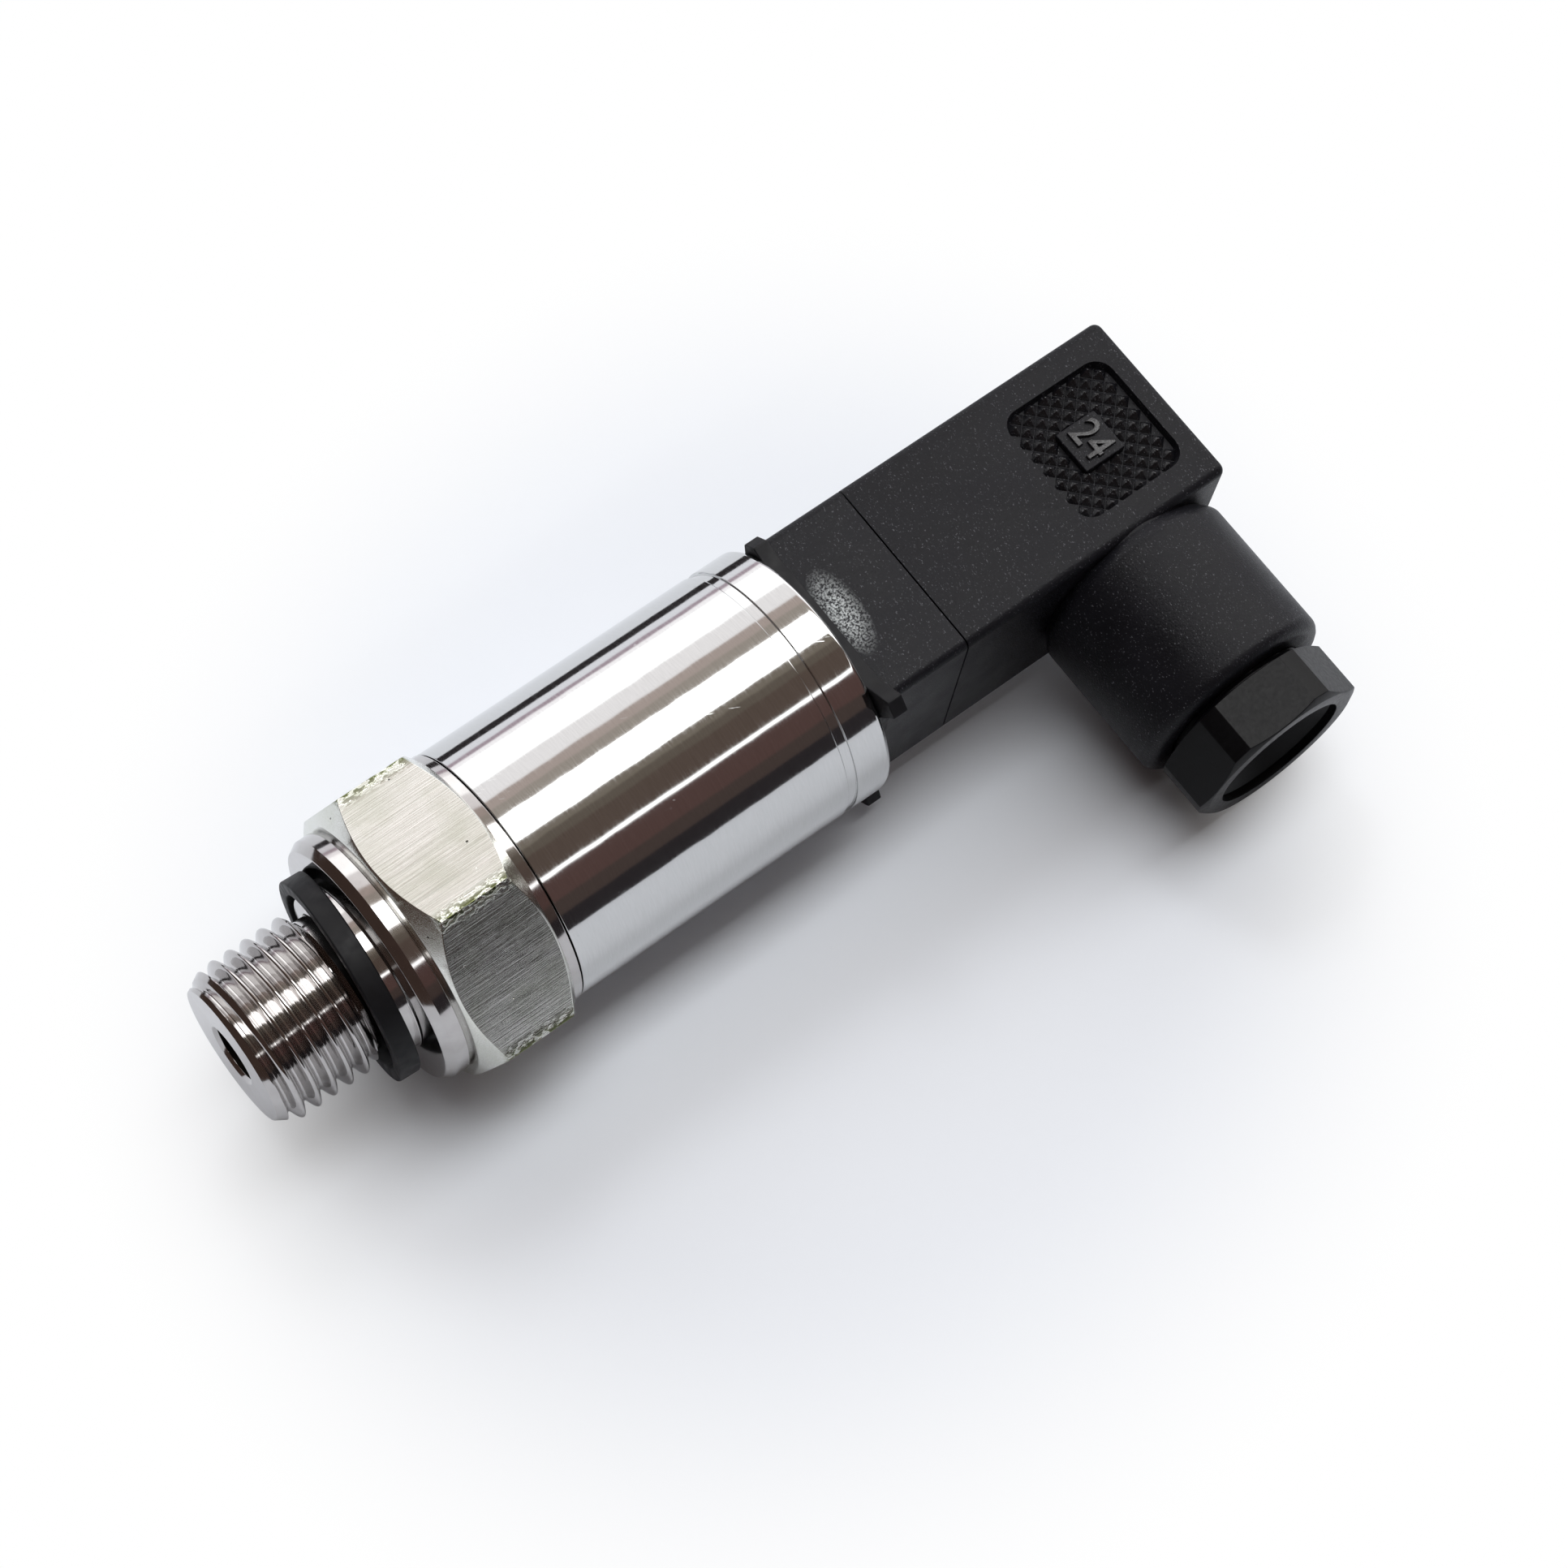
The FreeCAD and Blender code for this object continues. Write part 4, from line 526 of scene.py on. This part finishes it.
def sixSided(name, sizes, cap=None):
    # hexagonal ring with turned bevels: every column of points ends where the bevel's cone
    # meets the flat, so the curved edges are exact
    apothem = sizes["flats"] / 2
    corner = apothem / math.cos(math.pi / 6)
    widest = min(corner, cap) if cap else corner
    slope = (widest - sizes["face"]) / sizes["reach"]
    frontSlope = slope if "frontFace" not in sizes else (
        (widest - sizes["frontFace"]) / sizes["frontReach"])
    angles = []
    edge = math.acos(min(1, apothem / widest))
    for side in range(6):
        middle = math.radians(90 + sizes["turn"] - 30 + 60 * side)
        count = sizes["columns"]
        angles += [middle + edge * (2 * step / count - 1) for step in range(count)]
        if cap and cap < corner:
            gap = math.radians(60) - 2 * edge
            angles += [middle + edge + gap * step / 6 for step in range(6)]
    mesh = bmesh.new()
    columns = []
    for angle in angles:
        local = (angle - math.radians(90 + sizes["turn"] - 30)) % math.radians(60)
        local = min(local, math.radians(60) - local)
        radius = min(apothem / math.cos(local), widest)
        front = sizes.get("frontFace", sizes["face"])
        frontDepth = (radius - front) / frontSlope
        rearDepth = (radius - sizes["face"]) / slope
        column = []
        for x, spoke in ((sizes["front"], sizes["inner"]), (sizes["front"], front),
                         (sizes["front"] + frontDepth, radius),
                         (sizes["rear"] - rearDepth, radius),
                         (sizes["rear"], sizes["face"]), (sizes["rear"], sizes["inner"])):
            column.append(mesh.verts.new((x, spoke * math.cos(angle), spoke * math.sin(angle))))
        columns.append(column)
    for index, column in enumerate(columns):
        after = columns[(index + 1) % len(columns)]
        for low in range(6):
            high = (low + 1) % 6
            mesh.faces.new((column[low], column[high], after[high], after[low]))
    bmesh.ops.recalc_face_normals(mesh, faces=mesh.faces)
    data = bpy.data.meshes.new(name)
    mesh.to_mesh(data)
    mesh.free()
    return data


addPiece("spanner_hexagon", softened(sixSided("spanner_hexagon", hexagon), 0.07, 16, 2),
         hexSteel, "transmitter", smooth=22)

seat = {"front": 23.9, "edge": 24.1, "shoulder": 25.05, "rear": 29.85, "bore": 8.0,
        "frontRadius": 11.4, "radius": 11.55, "spigot": 10.45}
band = [(seat["front"], seat["bore"], 0), (seat["front"], seat["frontRadius"], 0),
        (seat["edge"], seat["radius"], 0.02), (seat["shoulder"], seat["radius"], 0.06),
        (seat["shoulder"], seat["spigot"], 0), (seat["rear"], seat["spigot"], 0),
        (seat["rear"], seat["bore"], 0)]
addPiece("sleeve_seat", turnedMesh("sleeve_seat", roundedPath(band)), barSteel, "transmitter")

# the seal ring hangs a little askew on the neck
seal = {"outer": 9.05, "inner": 7.85, "thick": 1.85, "front": 10.1, "off": (0.07, 0.0),
        "lean": (-0.0675, 0.041)}
sealRing = [(0, seal["inner"], 0.12), (0, seal["outer"], 0.15),
            (seal["thick"], seal["outer"], 0.15), (seal["thick"], seal["inner"], 0.1)]
leaning = Vector((1, *seal["lean"])).normalized()
addPiece("flat_seal", turnedMesh("flat_seal", roundedPath(sealRing)), rubber, "transmitter",
         replaces=["seal_ring"],
         place=Matrix.Translation((seal["front"], *seal["off"]))
         @ Vector((1, 0, 0)).rotation_difference(leaning).to_matrix().to_4x4())
print("process connection made")

sleeve = {"front": 25.2, "rear": 51.7, "radius": 11.5, "bore": 10.6, "frontEdge": 0.1,
          "rearEdge": 0.12}
tube = [(sleeve["front"], sleeve["bore"], 0),
        (sleeve["front"], sleeve["radius"], sleeve["frontEdge"]),
        (sleeve["rear"], sleeve["radius"], sleeve["rearEdge"]),
        (sleeve["rear"], sleeve["bore"], 0)]
addPiece("polished_sleeve", turnedMesh("polished_sleeve", roundedPath(tube), segments=360),
         tubeSteel, "transmitter", replaces=["housing_sleeve"])

# the end ring: a spigot inside the sleeve, a narrow groove beside it and a rounded lip
endRing = {"front": 47.6, "grooveFront": 51.72, "grooveRear": 52.6, "rear": 56.1, "step": 54.6,
           "bore": 9.2, "mouth": 8.65, "spigot": 10.45, "groove": 11.28, "radius": 11.5,
           "lip": 0.5}
r = endRing
rim = [(r["front"], r["bore"], 0), (r["front"], r["spigot"], 0),
       (r["grooveFront"], r["spigot"], 0), (r["grooveFront"], r["groove"], 0.03),
       (r["grooveRear"], r["groove"], 0.05), (r["grooveRear"], r["radius"], 0.07),
       (r["rear"], r["radius"], r["lip"]), (r["rear"], r["mouth"], 0.1),
       (r["step"], r["mouth"], 0), (r["step"], r["bore"], 0)]
addPiece("sleeve_rim", turnedMesh("sleeve_rim", roundedPath(rim), segments=360), tubeSteel,
         "transmitter", replaces=["end_ring"])

addPiece("square_gasket", softened(fromCad("gasket"), 0.12, 30, 3), rubber, "transmitter",
         replaces=["gasket"])
addPiece("base_moulding", fromCad("pin_base"), glandNylon, "transmitter",
         replaces=["pin_base"])
for node in ("pin_1", "pin_2", "pin_3", "pin_earth"):
    addPiece("contact_" + node, fromCad(node), tinnedBrass, "transmitter",
             replaces=[node])
hidden = {"thread_insert": bareBrass, "capsule_seal": rubber, "base_seal": rubber,
          "sensor_capsule": barSteel, "clamp_ring": barSteel, "capsule_header": bareBrass,
          "signal_board": boardGreen, "connector_board": boardGreen,
          "board_spacer": palePlastic, "ribbon_lead": palePlastic, "slip_washer": palePlastic,
          "gland_grommet": rubber, "screw_seal": rubber, "fixing_screw": zincSteel}
for number in ("1", "2", "3", "earth"):
    hidden["socket_" + number] = bareBrass
    hidden["terminal_screw_" + number] = zincSteel
for node, material in hidden.items():
    for place in frame["nodes"][node].material_slots:
        place.material = material

plug = {  # square moulding, stations along the body in millimetres
    "front": 65.33, "rear": 92.65, "half": 8.5, "edge": 0.8, "rearEdge": 0.7, "hollow": 6.9,
    "hollowEnd": 88.2, "screwHole": 1.7, "sink": 3.3, "sinkDepth": 3.65}
recess = {"front": 79.55, "rear": 90.95, "half": 6.0, "depth": 0.75, "round": 1.7,
          "slope": 0.45}
gland = {"foot": 8.3, "footTop": 9.6, "radius": 9.15, "end": 22.9, "round": 1.1, "bore": 6.7,
         "boreFloor": 11.2, "channel": 4.2}


def roundedBox(name, low, high, chosen, rounds):
    # box whose chosen edges get their own radius: chosen(edge middle, edge direction, radius)
    mesh = bmesh.new()
    bmesh.ops.create_cube(mesh, size=1.0)
    middle = (Vector(low) + Vector(high)) / 2
    size = Vector(high) - Vector(low)
    for vertex in mesh.verts:
        vertex.co = Vector(a * b for a, b in zip(vertex.co, size)) + middle
    for radius, steps in rounds:
        edges = []
        for edge in mesh.edges:
            centre = (edge.verts[0].co + edge.verts[1].co) / 2
            run = edge.verts[1].co - edge.verts[0].co
            if chosen(centre, run, radius):
                edges.append(edge)
        bmesh.ops.bevel(mesh, geom=edges, offset=radius, segments=steps, profile=0.5,
                        affect="EDGES", clamp_overlap=True)
    bmesh.ops.recalc_face_normals(mesh, faces=mesh.faces)
    data = bpy.data.meshes.new(name)
    mesh.to_mesh(data)
    mesh.free()
    return data


def combined(name, base, steps):
    # booleans one after the other: (operation, mesh)
    holder = bpy.data.objects.new("base", base)
    bpy.context.scene.collection.objects.link(holder)
    tools = []
    for operation, data in steps:
        tool = bpy.data.objects.new("tool", data)
        bpy.context.scene.collection.objects.link(tool)
        tools.append(tool)
        modifier = holder.modifiers.new(operation, "BOOLEAN")
        modifier.operation = operation
        modifier.object = tool
        modifier.solver = "EXACT"
    bpy.context.view_layer.update()
    depsgraph = bpy.context.evaluated_depsgraph_get()
    result = bpy.data.meshes.new_from_object(holder.evaluated_get(depsgraph))
    for item in [holder] + tools:
        bpy.data.objects.remove(item)
    return result


def placed(data, matrix):
    data.transform(matrix)
    return data


block = roundedBox(
    "block", (plug["front"], -plug["half"], -plug["half"]),
    (plug["rear"], plug["half"], plug["half"]),
    lambda middle, run, radius: (abs(run.x) > 5 and abs(run.x) > run.length * 0.9
                                 if radius == plug["edge"]
                                 else middle.x > plug["rear"] - 0.01),
    ((plug["edge"], 5), (plug["rearEdge"], 5)))
glandOutline = roundedPath([
    (plug["half"] - 1.5, 0, 0), (plug["half"] - 1.5, gland["foot"], 0),
    (plug["half"], gland["foot"], 0.2), (gland["footTop"], gland["radius"], 1.2),
    (gland["end"], gland["radius"], gland["round"]), (gland["end"], 0, 0)],
    closed=False, steps=6)
glandBarrel = placed(turnedMesh("barrel", glandOutline, closed=False, segments=192),
                     ontoGland @ Matrix.Rotation(math.radians(-90), 4, "Y"))
recessMiddle = (recess["front"] + recess["rear"]) / 2
recessTool = roundedBox(
    "recess", (recess["front"], -recess["half"], plug["half"] - recess["depth"]),
    (recess["rear"], recess["half"], plug["half"] + 1),
    lambda middle, run, radius: abs(run.z) > 1.2, ((recess["round"], 6),))
hollow = roundedBox(
    "hollow", (plug["front"] - 1, -plug["hollow"], -plug["hollow"]),
    (plug["hollowEnd"], plug["hollow"], plug["hollow"]), lambda *rest: False, ())
boreOutline = [(plug["hollow"] - 1, 0), (plug["hollow"] - 1, gland["channel"]),
               (gland["boreFloor"], gland["channel"]), (gland["boreFloor"], gland["bore"]),
               (gland["end"] + 1, gland["bore"]), (gland["end"] + 1, 0)]
glandBore = placed(turnedMesh("bore", boreOutline, closed=False, segments=128),
                   ontoGland @ Matrix.Rotation(math.radians(-90), 4, "Y"))
screwOutline = [(plug["hollowEnd"] - 1, 0), (plug["hollowEnd"] - 1, plug["screwHole"]),
                (plug["rear"] - plug["sinkDepth"], plug["screwHole"]),
                (plug["rear"] - plug["sinkDepth"], plug["sink"]), (plug["rear"] + 1, plug["sink"]),
                (plug["rear"] + 1, 0)]
screwBore = turnedMesh("screwBore", screwOutline, closed=False, segments=96)
for vertex in recessTool.vertices:  # the walls slope outwards
    if vertex.co.z < plug["half"]:
        vertex.co.x -= math.copysign(recess["slope"], vertex.co.x - recessMiddle)
        vertex.co.y -= math.copysign(recess["slope"], vertex.co.y)
housing = combined("plug_moulding", block, [
    ("DIFFERENCE", recessTool), ("UNION", glandBarrel), ("DIFFERENCE", hollow),
    ("DIFFERENCE", screwBore), ("DIFFERENCE", glandBore)])
addPiece("plug_moulding", softened(housing, 0.11, 38, 2), plugNylon, "plug",
         replaces=["plug_housing"], smooth=32)

addPiece("contact_carrier", softened(fromCad("contact_insert"), 0.1, 50, 2), carrierNylon,
         "plug", replaces=["contact_insert"])

grip = {"pitch": 1.07, "height": 0.6, "plate": 4.1, "plateAhead": 0.35, "margin": 1.0}


def gripTree():
    # Geometry Nodes: rows of small pyramids on the floor of the recess, turned by 45 degrees
    tree = bpy.data.node_groups.new("gripPyramids", "GeometryNodeTree")
    face = tree.interface
    for name in ("Pitch", "Height", "Length", "Width", "Plate", "Plate Ahead"):
        face.new_socket(name, in_out="INPUT", socket_type="NodeSocketFloat")
    face.new_socket("Rows", in_out="INPUT", socket_type="NodeSocketInt")
    face.new_socket("Material", in_out="INPUT", socket_type="NodeSocketMaterial")
    face.new_socket("Geometry", in_out="OUTPUT", socket_type="NodeSocketGeometry")
    given = addNode(tree, "NodeGroupInput").outputs
    mathNode = "ShaderNodeMath"
    gaps = addNode(tree, mathNode, {0: given["Rows"], 1: 1.0}, operation="SUBTRACT")
    span = addNode(tree, mathNode, {0: given["Pitch"], 1: gaps}, operation="MULTIPLY")
    points = addNode(tree, "GeometryNodeMeshGrid", {
        "Size X": span, "Size Y": span, "Vertices X": given["Rows"],
        "Vertices Y": given["Rows"]})
    turned = addNode(tree, "GeometryNodeTransform", {
        "Geometry": points.outputs["Mesh"], "Rotation": (0, 0, math.radians(45))})
    split = addNode(tree, "ShaderNodeSeparateXYZ", {
        0: addNode(tree, "GeometryNodeInputPosition")})
    farX = addNode(tree, mathNode, {0: split.outputs["X"]}, operation="ABSOLUTE")
    farY = addNode(tree, mathNode, {0: split.outputs["Y"]}, operation="ABSOLUTE")
    halfX = addNode(tree, mathNode, {0: given["Length"], 1: 2.0}, operation="DIVIDE")
    halfY = addNode(tree, mathNode, {0: given["Width"], 1: 2.0}, operation="DIVIDE")
    halfPlate = addNode(tree, mathNode, {0: given["Plate"], 1: 2.0}, operation="DIVIDE")
    outsideX = addNode(tree, mathNode, {0: farX, 1: halfX}, operation="GREATER_THAN")
    outsideY = addNode(tree, mathNode, {0: farY, 1: halfY}, operation="GREATER_THAN")
    both = addNode(tree, mathNode, {0: farX, 1: farY}, operation="ADD")
    bothHalves = addNode(tree, mathNode, {0: halfX, 1: halfY}, operation="ADD")
    limit = addNode(tree, mathNode, {0: bothHalves, 1: 0.7}, operation="SUBTRACT")
    inCorner = addNode(tree, mathNode, {0: both, 1: limit}, operation="GREATER_THAN")
    fromPlate = addNode(tree, mathNode, {0: split.outputs["X"], 1: given["Plate Ahead"]},
                        operation="ADD")
    fromPlate = addNode(tree, mathNode, {0: fromPlate}, operation="ABSOLUTE")
    onPlateX = addNode(tree, mathNode, {0: fromPlate, 1: halfPlate}, operation="LESS_THAN")
    onPlateY = addNode(tree, mathNode, {0: farY, 1: halfPlate}, operation="LESS_THAN")
    onPlate = addNode(tree, mathNode, {0: onPlateX, 1: onPlateY}, operation="MULTIPLY")
    outside = addNode(tree, mathNode, {0: outsideX, 1: outsideY}, operation="MAXIMUM")
    outside = addNode(tree, mathNode, {0: outside, 1: inCorner}, operation="MAXIMUM")
    outside = addNode(tree, mathNode, {0: outside, 1: onPlate}, operation="MAXIMUM")
    kept = addNode(tree, "GeometryNodeDeleteGeometry", {
        "Geometry": turned, "Selection": outside}, domain="POINT")
    base = addNode(tree, mathNode, {0: given["Pitch"], 1: 0.7071}, operation="MULTIPLY")
    top = addNode(tree, mathNode, {0: base, 1: 0.08}, operation="MULTIPLY")
    pyramid = addNode(tree, "GeometryNodeMeshCone", {
        "Vertices": 4, "Side Segments": 1, "Fill Segments": 1, "Radius Top": top,
        "Radius Bottom": base, "Depth": given["Height"]}, fill_type="NGON")
    placedOn = addNode(tree, "GeometryNodeInstanceOnPoints", {
        "Points": kept, "Instance": pyramid.outputs["Mesh"]})
    real = addNode(tree, "GeometryNodeRealizeInstances", {"Geometry": placedOn})
    dressed = addNode(tree, "GeometryNodeSetMaterial", {
        "Geometry": real, "Material": given["Material"]})
    addNode(tree, "NodeGroupOutput", {"Geometry": dressed})
    return tree


floorHeight = plug["half"] - recess["depth"]
pyramids = fromNodes("grip_pyramids", gripTree(), {
    "Pitch": grip["pitch"], "Height": grip["height"],
    "Length": recess["rear"] - recess["front"] - grip["margin"],
    "Width": 2 * recess["half"] - grip["margin"], "Plate": grip["plate"],
    "Plate Ahead": grip["plateAhead"], "Rows": 19, "Material": patternNylon})
addPiece("grip_pyramids", softened(pyramids, 0.09, 30, 2), patternNylon, "plug",
         place=Matrix.Translation((recessMiddle, 0, floorHeight - 0.02)), smooth=20)

plateX = recessMiddle - grip["plateAhead"]
halfPlate = grip["plate"] / 2
plateTop = plug["half"] + 0.02
plate = roundedBox("plate", (plateX - halfPlate, -halfPlate, floorHeight - 0.1),
                   (plateX + halfPlate, halfPlate, plateTop), lambda *rest: False, ())
addPiece("number_plate", softened(plate, 0.12, 30, 3), plugNylon, "plug")


def raisedNumber(name, text, height, lift):
    # raised digits as a mesh, centred; where they are placed they are turned with their tops
    # towards the plug's end
    curve = bpy.data.curves.new(name, "FONT")
    curve.body = text
    curve.size = height
    curve.align_x = "CENTER"
    curve.align_y = "CENTER"
    curve.extrude = lift
    curve.bevel_depth = lift * 0.35
    curve.bevel_resolution = 2
    curve.offset = -0.015
    holder = bpy.data.objects.new("holder", curve)
    bpy.context.scene.collection.objects.link(holder)
    bpy.context.view_layer.update()
    depsgraph = bpy.context.evaluated_depsgraph_get()
    data = bpy.data.meshes.new_from_object(holder.evaluated_get(depsgraph))
    bpy.data.objects.remove(holder)
    mesh = bmesh.new()
    mesh.from_mesh(data)
    bmesh.ops.remove_doubles(mesh, verts=mesh.verts, dist=1e-4)
    mesh.to_mesh(data)
    mesh.free()
    return data


digits = raisedNumber("cavity_number", "24", 3.3, 0.2)
turn = Matrix(((0, 1.2, 0, plateX), (-1, 0, 0, 0), (0, 0, 1, plateTop), (0, 0, 0, 1)))
addPiece("cavity_number", digits, patternNylon, "plug", place=turn, smooth=40)

nut = {"flats": 15.0, "front": 23.5, "rear": 28.6, "face": 7.4, "reach": 0.35,
       "frontFace": 7.4, "frontReach": 0.2, "turn": 11.0, "inner": 6.0, "columns": 16,
       "cap": 8.2, "shank": 6.3, "shankEnd": 17.6, "bore": 4.4, "mouth": 6.75,
       "mouthDepth": 2.2}
ontoNut = ontoGland @ Matrix.Rotation(math.radians(-90), 4, "Y")
nutBody = sixSided("nut", nut, cap=nut["cap"])
nutCore = turnedMesh("core", roundedPath([
    (nut["shankEnd"], nut["bore"], 0.2), (nut["shankEnd"], nut["shank"], 0),
    (nut["front"] + 1, nut["shank"], 0), (nut["front"] + 1, 7.3, 0),
    (nut["rear"] - 0.01, 7.3, 0), (nut["rear"], nut["mouth"], 0.12),
    (nut["rear"] - nut["mouthDepth"], nut["bore"], 0.4)]), segments=160)
addPiece("nut_core", nutCore, glandNylon, "gland_nut", place=ontoNut)
addPiece("nut_hexagon", softened(nutBody, 0.15, 16, 3), glandNylon, "gland_nut",
         replaces=["gland_nut"], place=ontoNut, smooth=25)
nutThread = {"pitch": 1.5, "turns": 5.0, "crest": 6.62, "root": 6.0, "tip": 5.9, "leadIn": 0.6,
             "rearRadius": 5.95, "runOut": 0.6, "length": 5.9, "steps": 96}
addPiece("nut_thread", threadMesh("nut_thread", threads, nutThread, glandNylon), glandNylon,
         "gland_nut",
         place=ontoGland @ Matrix.Translation((0, 0, nut["shankEnd"])), smooth=40)
print("plug and gland made")

# A pale table that fades to the white of its surroundings, as a seamless backdrop does
table = {"centre": (2.0, 0.0), "turn": 40.0, "stretch": 1.18, "clear": 30.0, "white": 60.0,
         "half": 0.135}
floorMaterial, tree, shader = newMaterial("paleTable")
coords = addNode(tree, "ShaderNodeTexCoord")
wash = addNode(tree, "ShaderNodeTexNoise", {"Vector": coords.outputs["Object"], "Scale": 6.0})
tone = addNode(tree, "ShaderNodeMix", {
    0: wash, 6: linear("#d4d9e0"), 7: linear("#dadee4")}, data_type="RGBA")
tree.links.new(tone.outputs[2], shader.inputs["Base Color"])
shader.inputs["Roughness"].default_value = 0.6
centred = addNode(tree, "ShaderNodeMapping", {
    "Vector": coords.outputs["Object"],
    "Location": (table["centre"][0] / 1000, table["centre"][1] / 1000, 0),
    "Rotation": (0, 0, math.radians(table["turn"])),
    "Scale": (table["stretch"] / 1000, 0.001, 0.001)}, vector_type="TEXTURE")
reach = addNode(tree, "ShaderNodeVectorMath", {0: centred}, operation="LENGTH")
fade = addNode(tree, "ShaderNodeMapRange", {
    "Value": reach.outputs["Value"], "From Min": table["clear"], "From Max": table["white"]},
    interpolation_type="SMOOTHSTEP")
seen = addNode(tree, "ShaderNodeMath", {
    0: fade, 1: addNode(tree, "ShaderNodeLightPath").outputs["Is Camera Ray"]},
    operation="MULTIPLY")
plain = addNode(tree, "ShaderNodeEmission", {"Color": linear("#ffffff"), "Strength": 1.0})
mixed = addNode(tree, "ShaderNodeMixShader", {0: seen, 1: shader, 2: plain})
for node in tree.nodes:
    if node.type == "OUTPUT_MATERIAL":
        tree.links.new(mixed.outputs[0], node.inputs["Surface"])
floorMesh = bpy.data.meshes.new("floor")
floorMesh.from_pydata([
    (-table["half"], -table["half"], 0), (table["half"], -table["half"], 0),
    (table["half"], table["half"], 0), (-table["half"], table["half"], 0)], [], [(0, 1, 2, 3)])
floorMesh.materials.append(floorMaterial)
floor = bpy.data.objects.new("floor", floorMesh)
bpy.context.scene.collection.objects.link(floor)

# The studio, as it lies in the direction across the body: 0 is the horizon on the gland's side,
# 90 straight up, 180 the horizon behind. Light panels with darker walls between them. Towards
# the port's end the panels give way to a dark wall.
studio = {"strength": 5.2, "panels": [
    (0, "#121011"), (8, "#211b19"), (20, "#291e1c"), (39.8, "#c8c8c8"), (42.6, "#2b2420"),
    (62, "#302b26"), (69, "#3c3731"), (76.5, "#ffffff"), (99, "#534e49"), (109, "#5d5551"),
    (117.5, "#858383"), (134, "#a4a4a4"), (161, "#8f8d8e"), (166.5, "#5a5156"),
    (171.5, "#7c7c7f")],
    "portWall": "#1d1613", "portFrom": -0.1, "portTo": -0.45}
world = bpy.data.worlds.new("studio")
bpy.context.scene.world = world
world.use_nodes = True
tree = world.node_tree
tree.nodes.clear()
split = addNode(tree, "ShaderNodeSeparateXYZ", {
    0: addNode(tree, "ShaderNodeTexCoord").outputs["Generated"]})
back = addNode(tree, "ShaderNodeMath", {0: split.outputs["Y"], 1: -1.0}, operation="MULTIPLY")
angle = addNode(tree, "ShaderNodeMath", {0: split.outputs["Z"], 1: back}, operation="ARCTAN2")
share = addNode(tree, "ShaderNodeMath", {0: angle, 1: math.pi}, operation="DIVIDE")
ramp = addNode(tree, "ShaderNodeValToRGB", {0: share})
stops = ramp.color_ramp
soft = 0.8  # degrees from one panel to the next
marks = []
for index, (start, colour) in enumerate(studio["panels"]):
    marks.append((0.0 if index == 0 else (start + soft) / 180, colour))
    if index + 1 < len(studio["panels"]):
        marks.append(((studio["panels"][index + 1][0] - soft) / 180, colour))
while len(stops.elements) < min(len(marks), 32):
    stops.elements.new(0.5)
for element, (position, colour) in zip(stops.elements, marks):
    element.position = min(1.0, position)
    element.color = linear(colour)
towardsPort = addNode(tree, "ShaderNodeMapRange", {
    "Value": split.outputs["X"], "From Min": studio["portFrom"], "From Max": studio["portTo"]},
    interpolation_type="SMOOTHSTEP")
walls = addNode(tree, "ShaderNodeMix", {
    0: towardsPort, 6: ramp, 7: linear(studio["portWall"])}, data_type="RGBA")
light = addNode(tree, "ShaderNodeBackground", {
    "Color": walls.outputs[2], "Strength": studio["strength"]})
plain = addNode(tree, "ShaderNodeBackground", {"Color": linear("#ffffff"), "Strength": 1.0})
seen = addNode(tree, "ShaderNodeMixShader", {
    0: addNode(tree, "ShaderNodeLightPath").outputs["Is Camera Ray"], 1: light, 2: plain})
addNode(tree, "ShaderNodeOutputWorld", {"Surface": seen})

# one softbox gives the shadow on the gland's side; the steel mirrors only the panels
softbox = {"from": (0.28, 0.6, 0.85), "away": 0.75, "side": 0.16, "power": 1.0,
           "colour": "#ffffff"}
lampData = bpy.data.lights.new("softbox", "AREA")
lampData.shape = "SQUARE"
lampData.size = softbox["side"]
lampData.energy = softbox["power"]
lampData.color = linear(softbox["colour"])[:3]
lamp = bpy.data.objects.new("softbox", lampData)
fromObject = Vector(softbox["from"]).normalized()
lamp.matrix_world = Matrix.Translation(fromObject * softbox["away"]) @ (
    fromObject.to_track_quat("Z", "Y").to_matrix().to_4x4())
lamp.visible_glossy = False
bpy.context.scene.collection.objects.link(lamp)

camera = {"place": (-42.93, -82.98, 279.98), "aim": (48.6, -6.98, 0.0), "roll": 1.576,
          "lens": 86.83}
eye = toWorld @ Vector(camera["place"])
ahead = (toWorld @ Vector(camera["aim"])) - eye
view = bpy.data.cameras.new("camera")
view.lens = camera["lens"]
view.sensor_width = 36
view.clip_start = 0.01
viewer = bpy.data.objects.new("camera", view)
turnView = ahead.to_track_quat("-Z", "Y") @ Quaternion((0, 0, 1), math.radians(-camera["roll"]))
viewer.matrix_world = Matrix.Translation(eye) @ turnView.to_matrix().to_4x4()
bpy.context.scene.collection.objects.link(viewer)
bpy.context.scene.camera = viewer
bpy.context.scene.view_settings.view_transform = "Standard"

print("scene made")
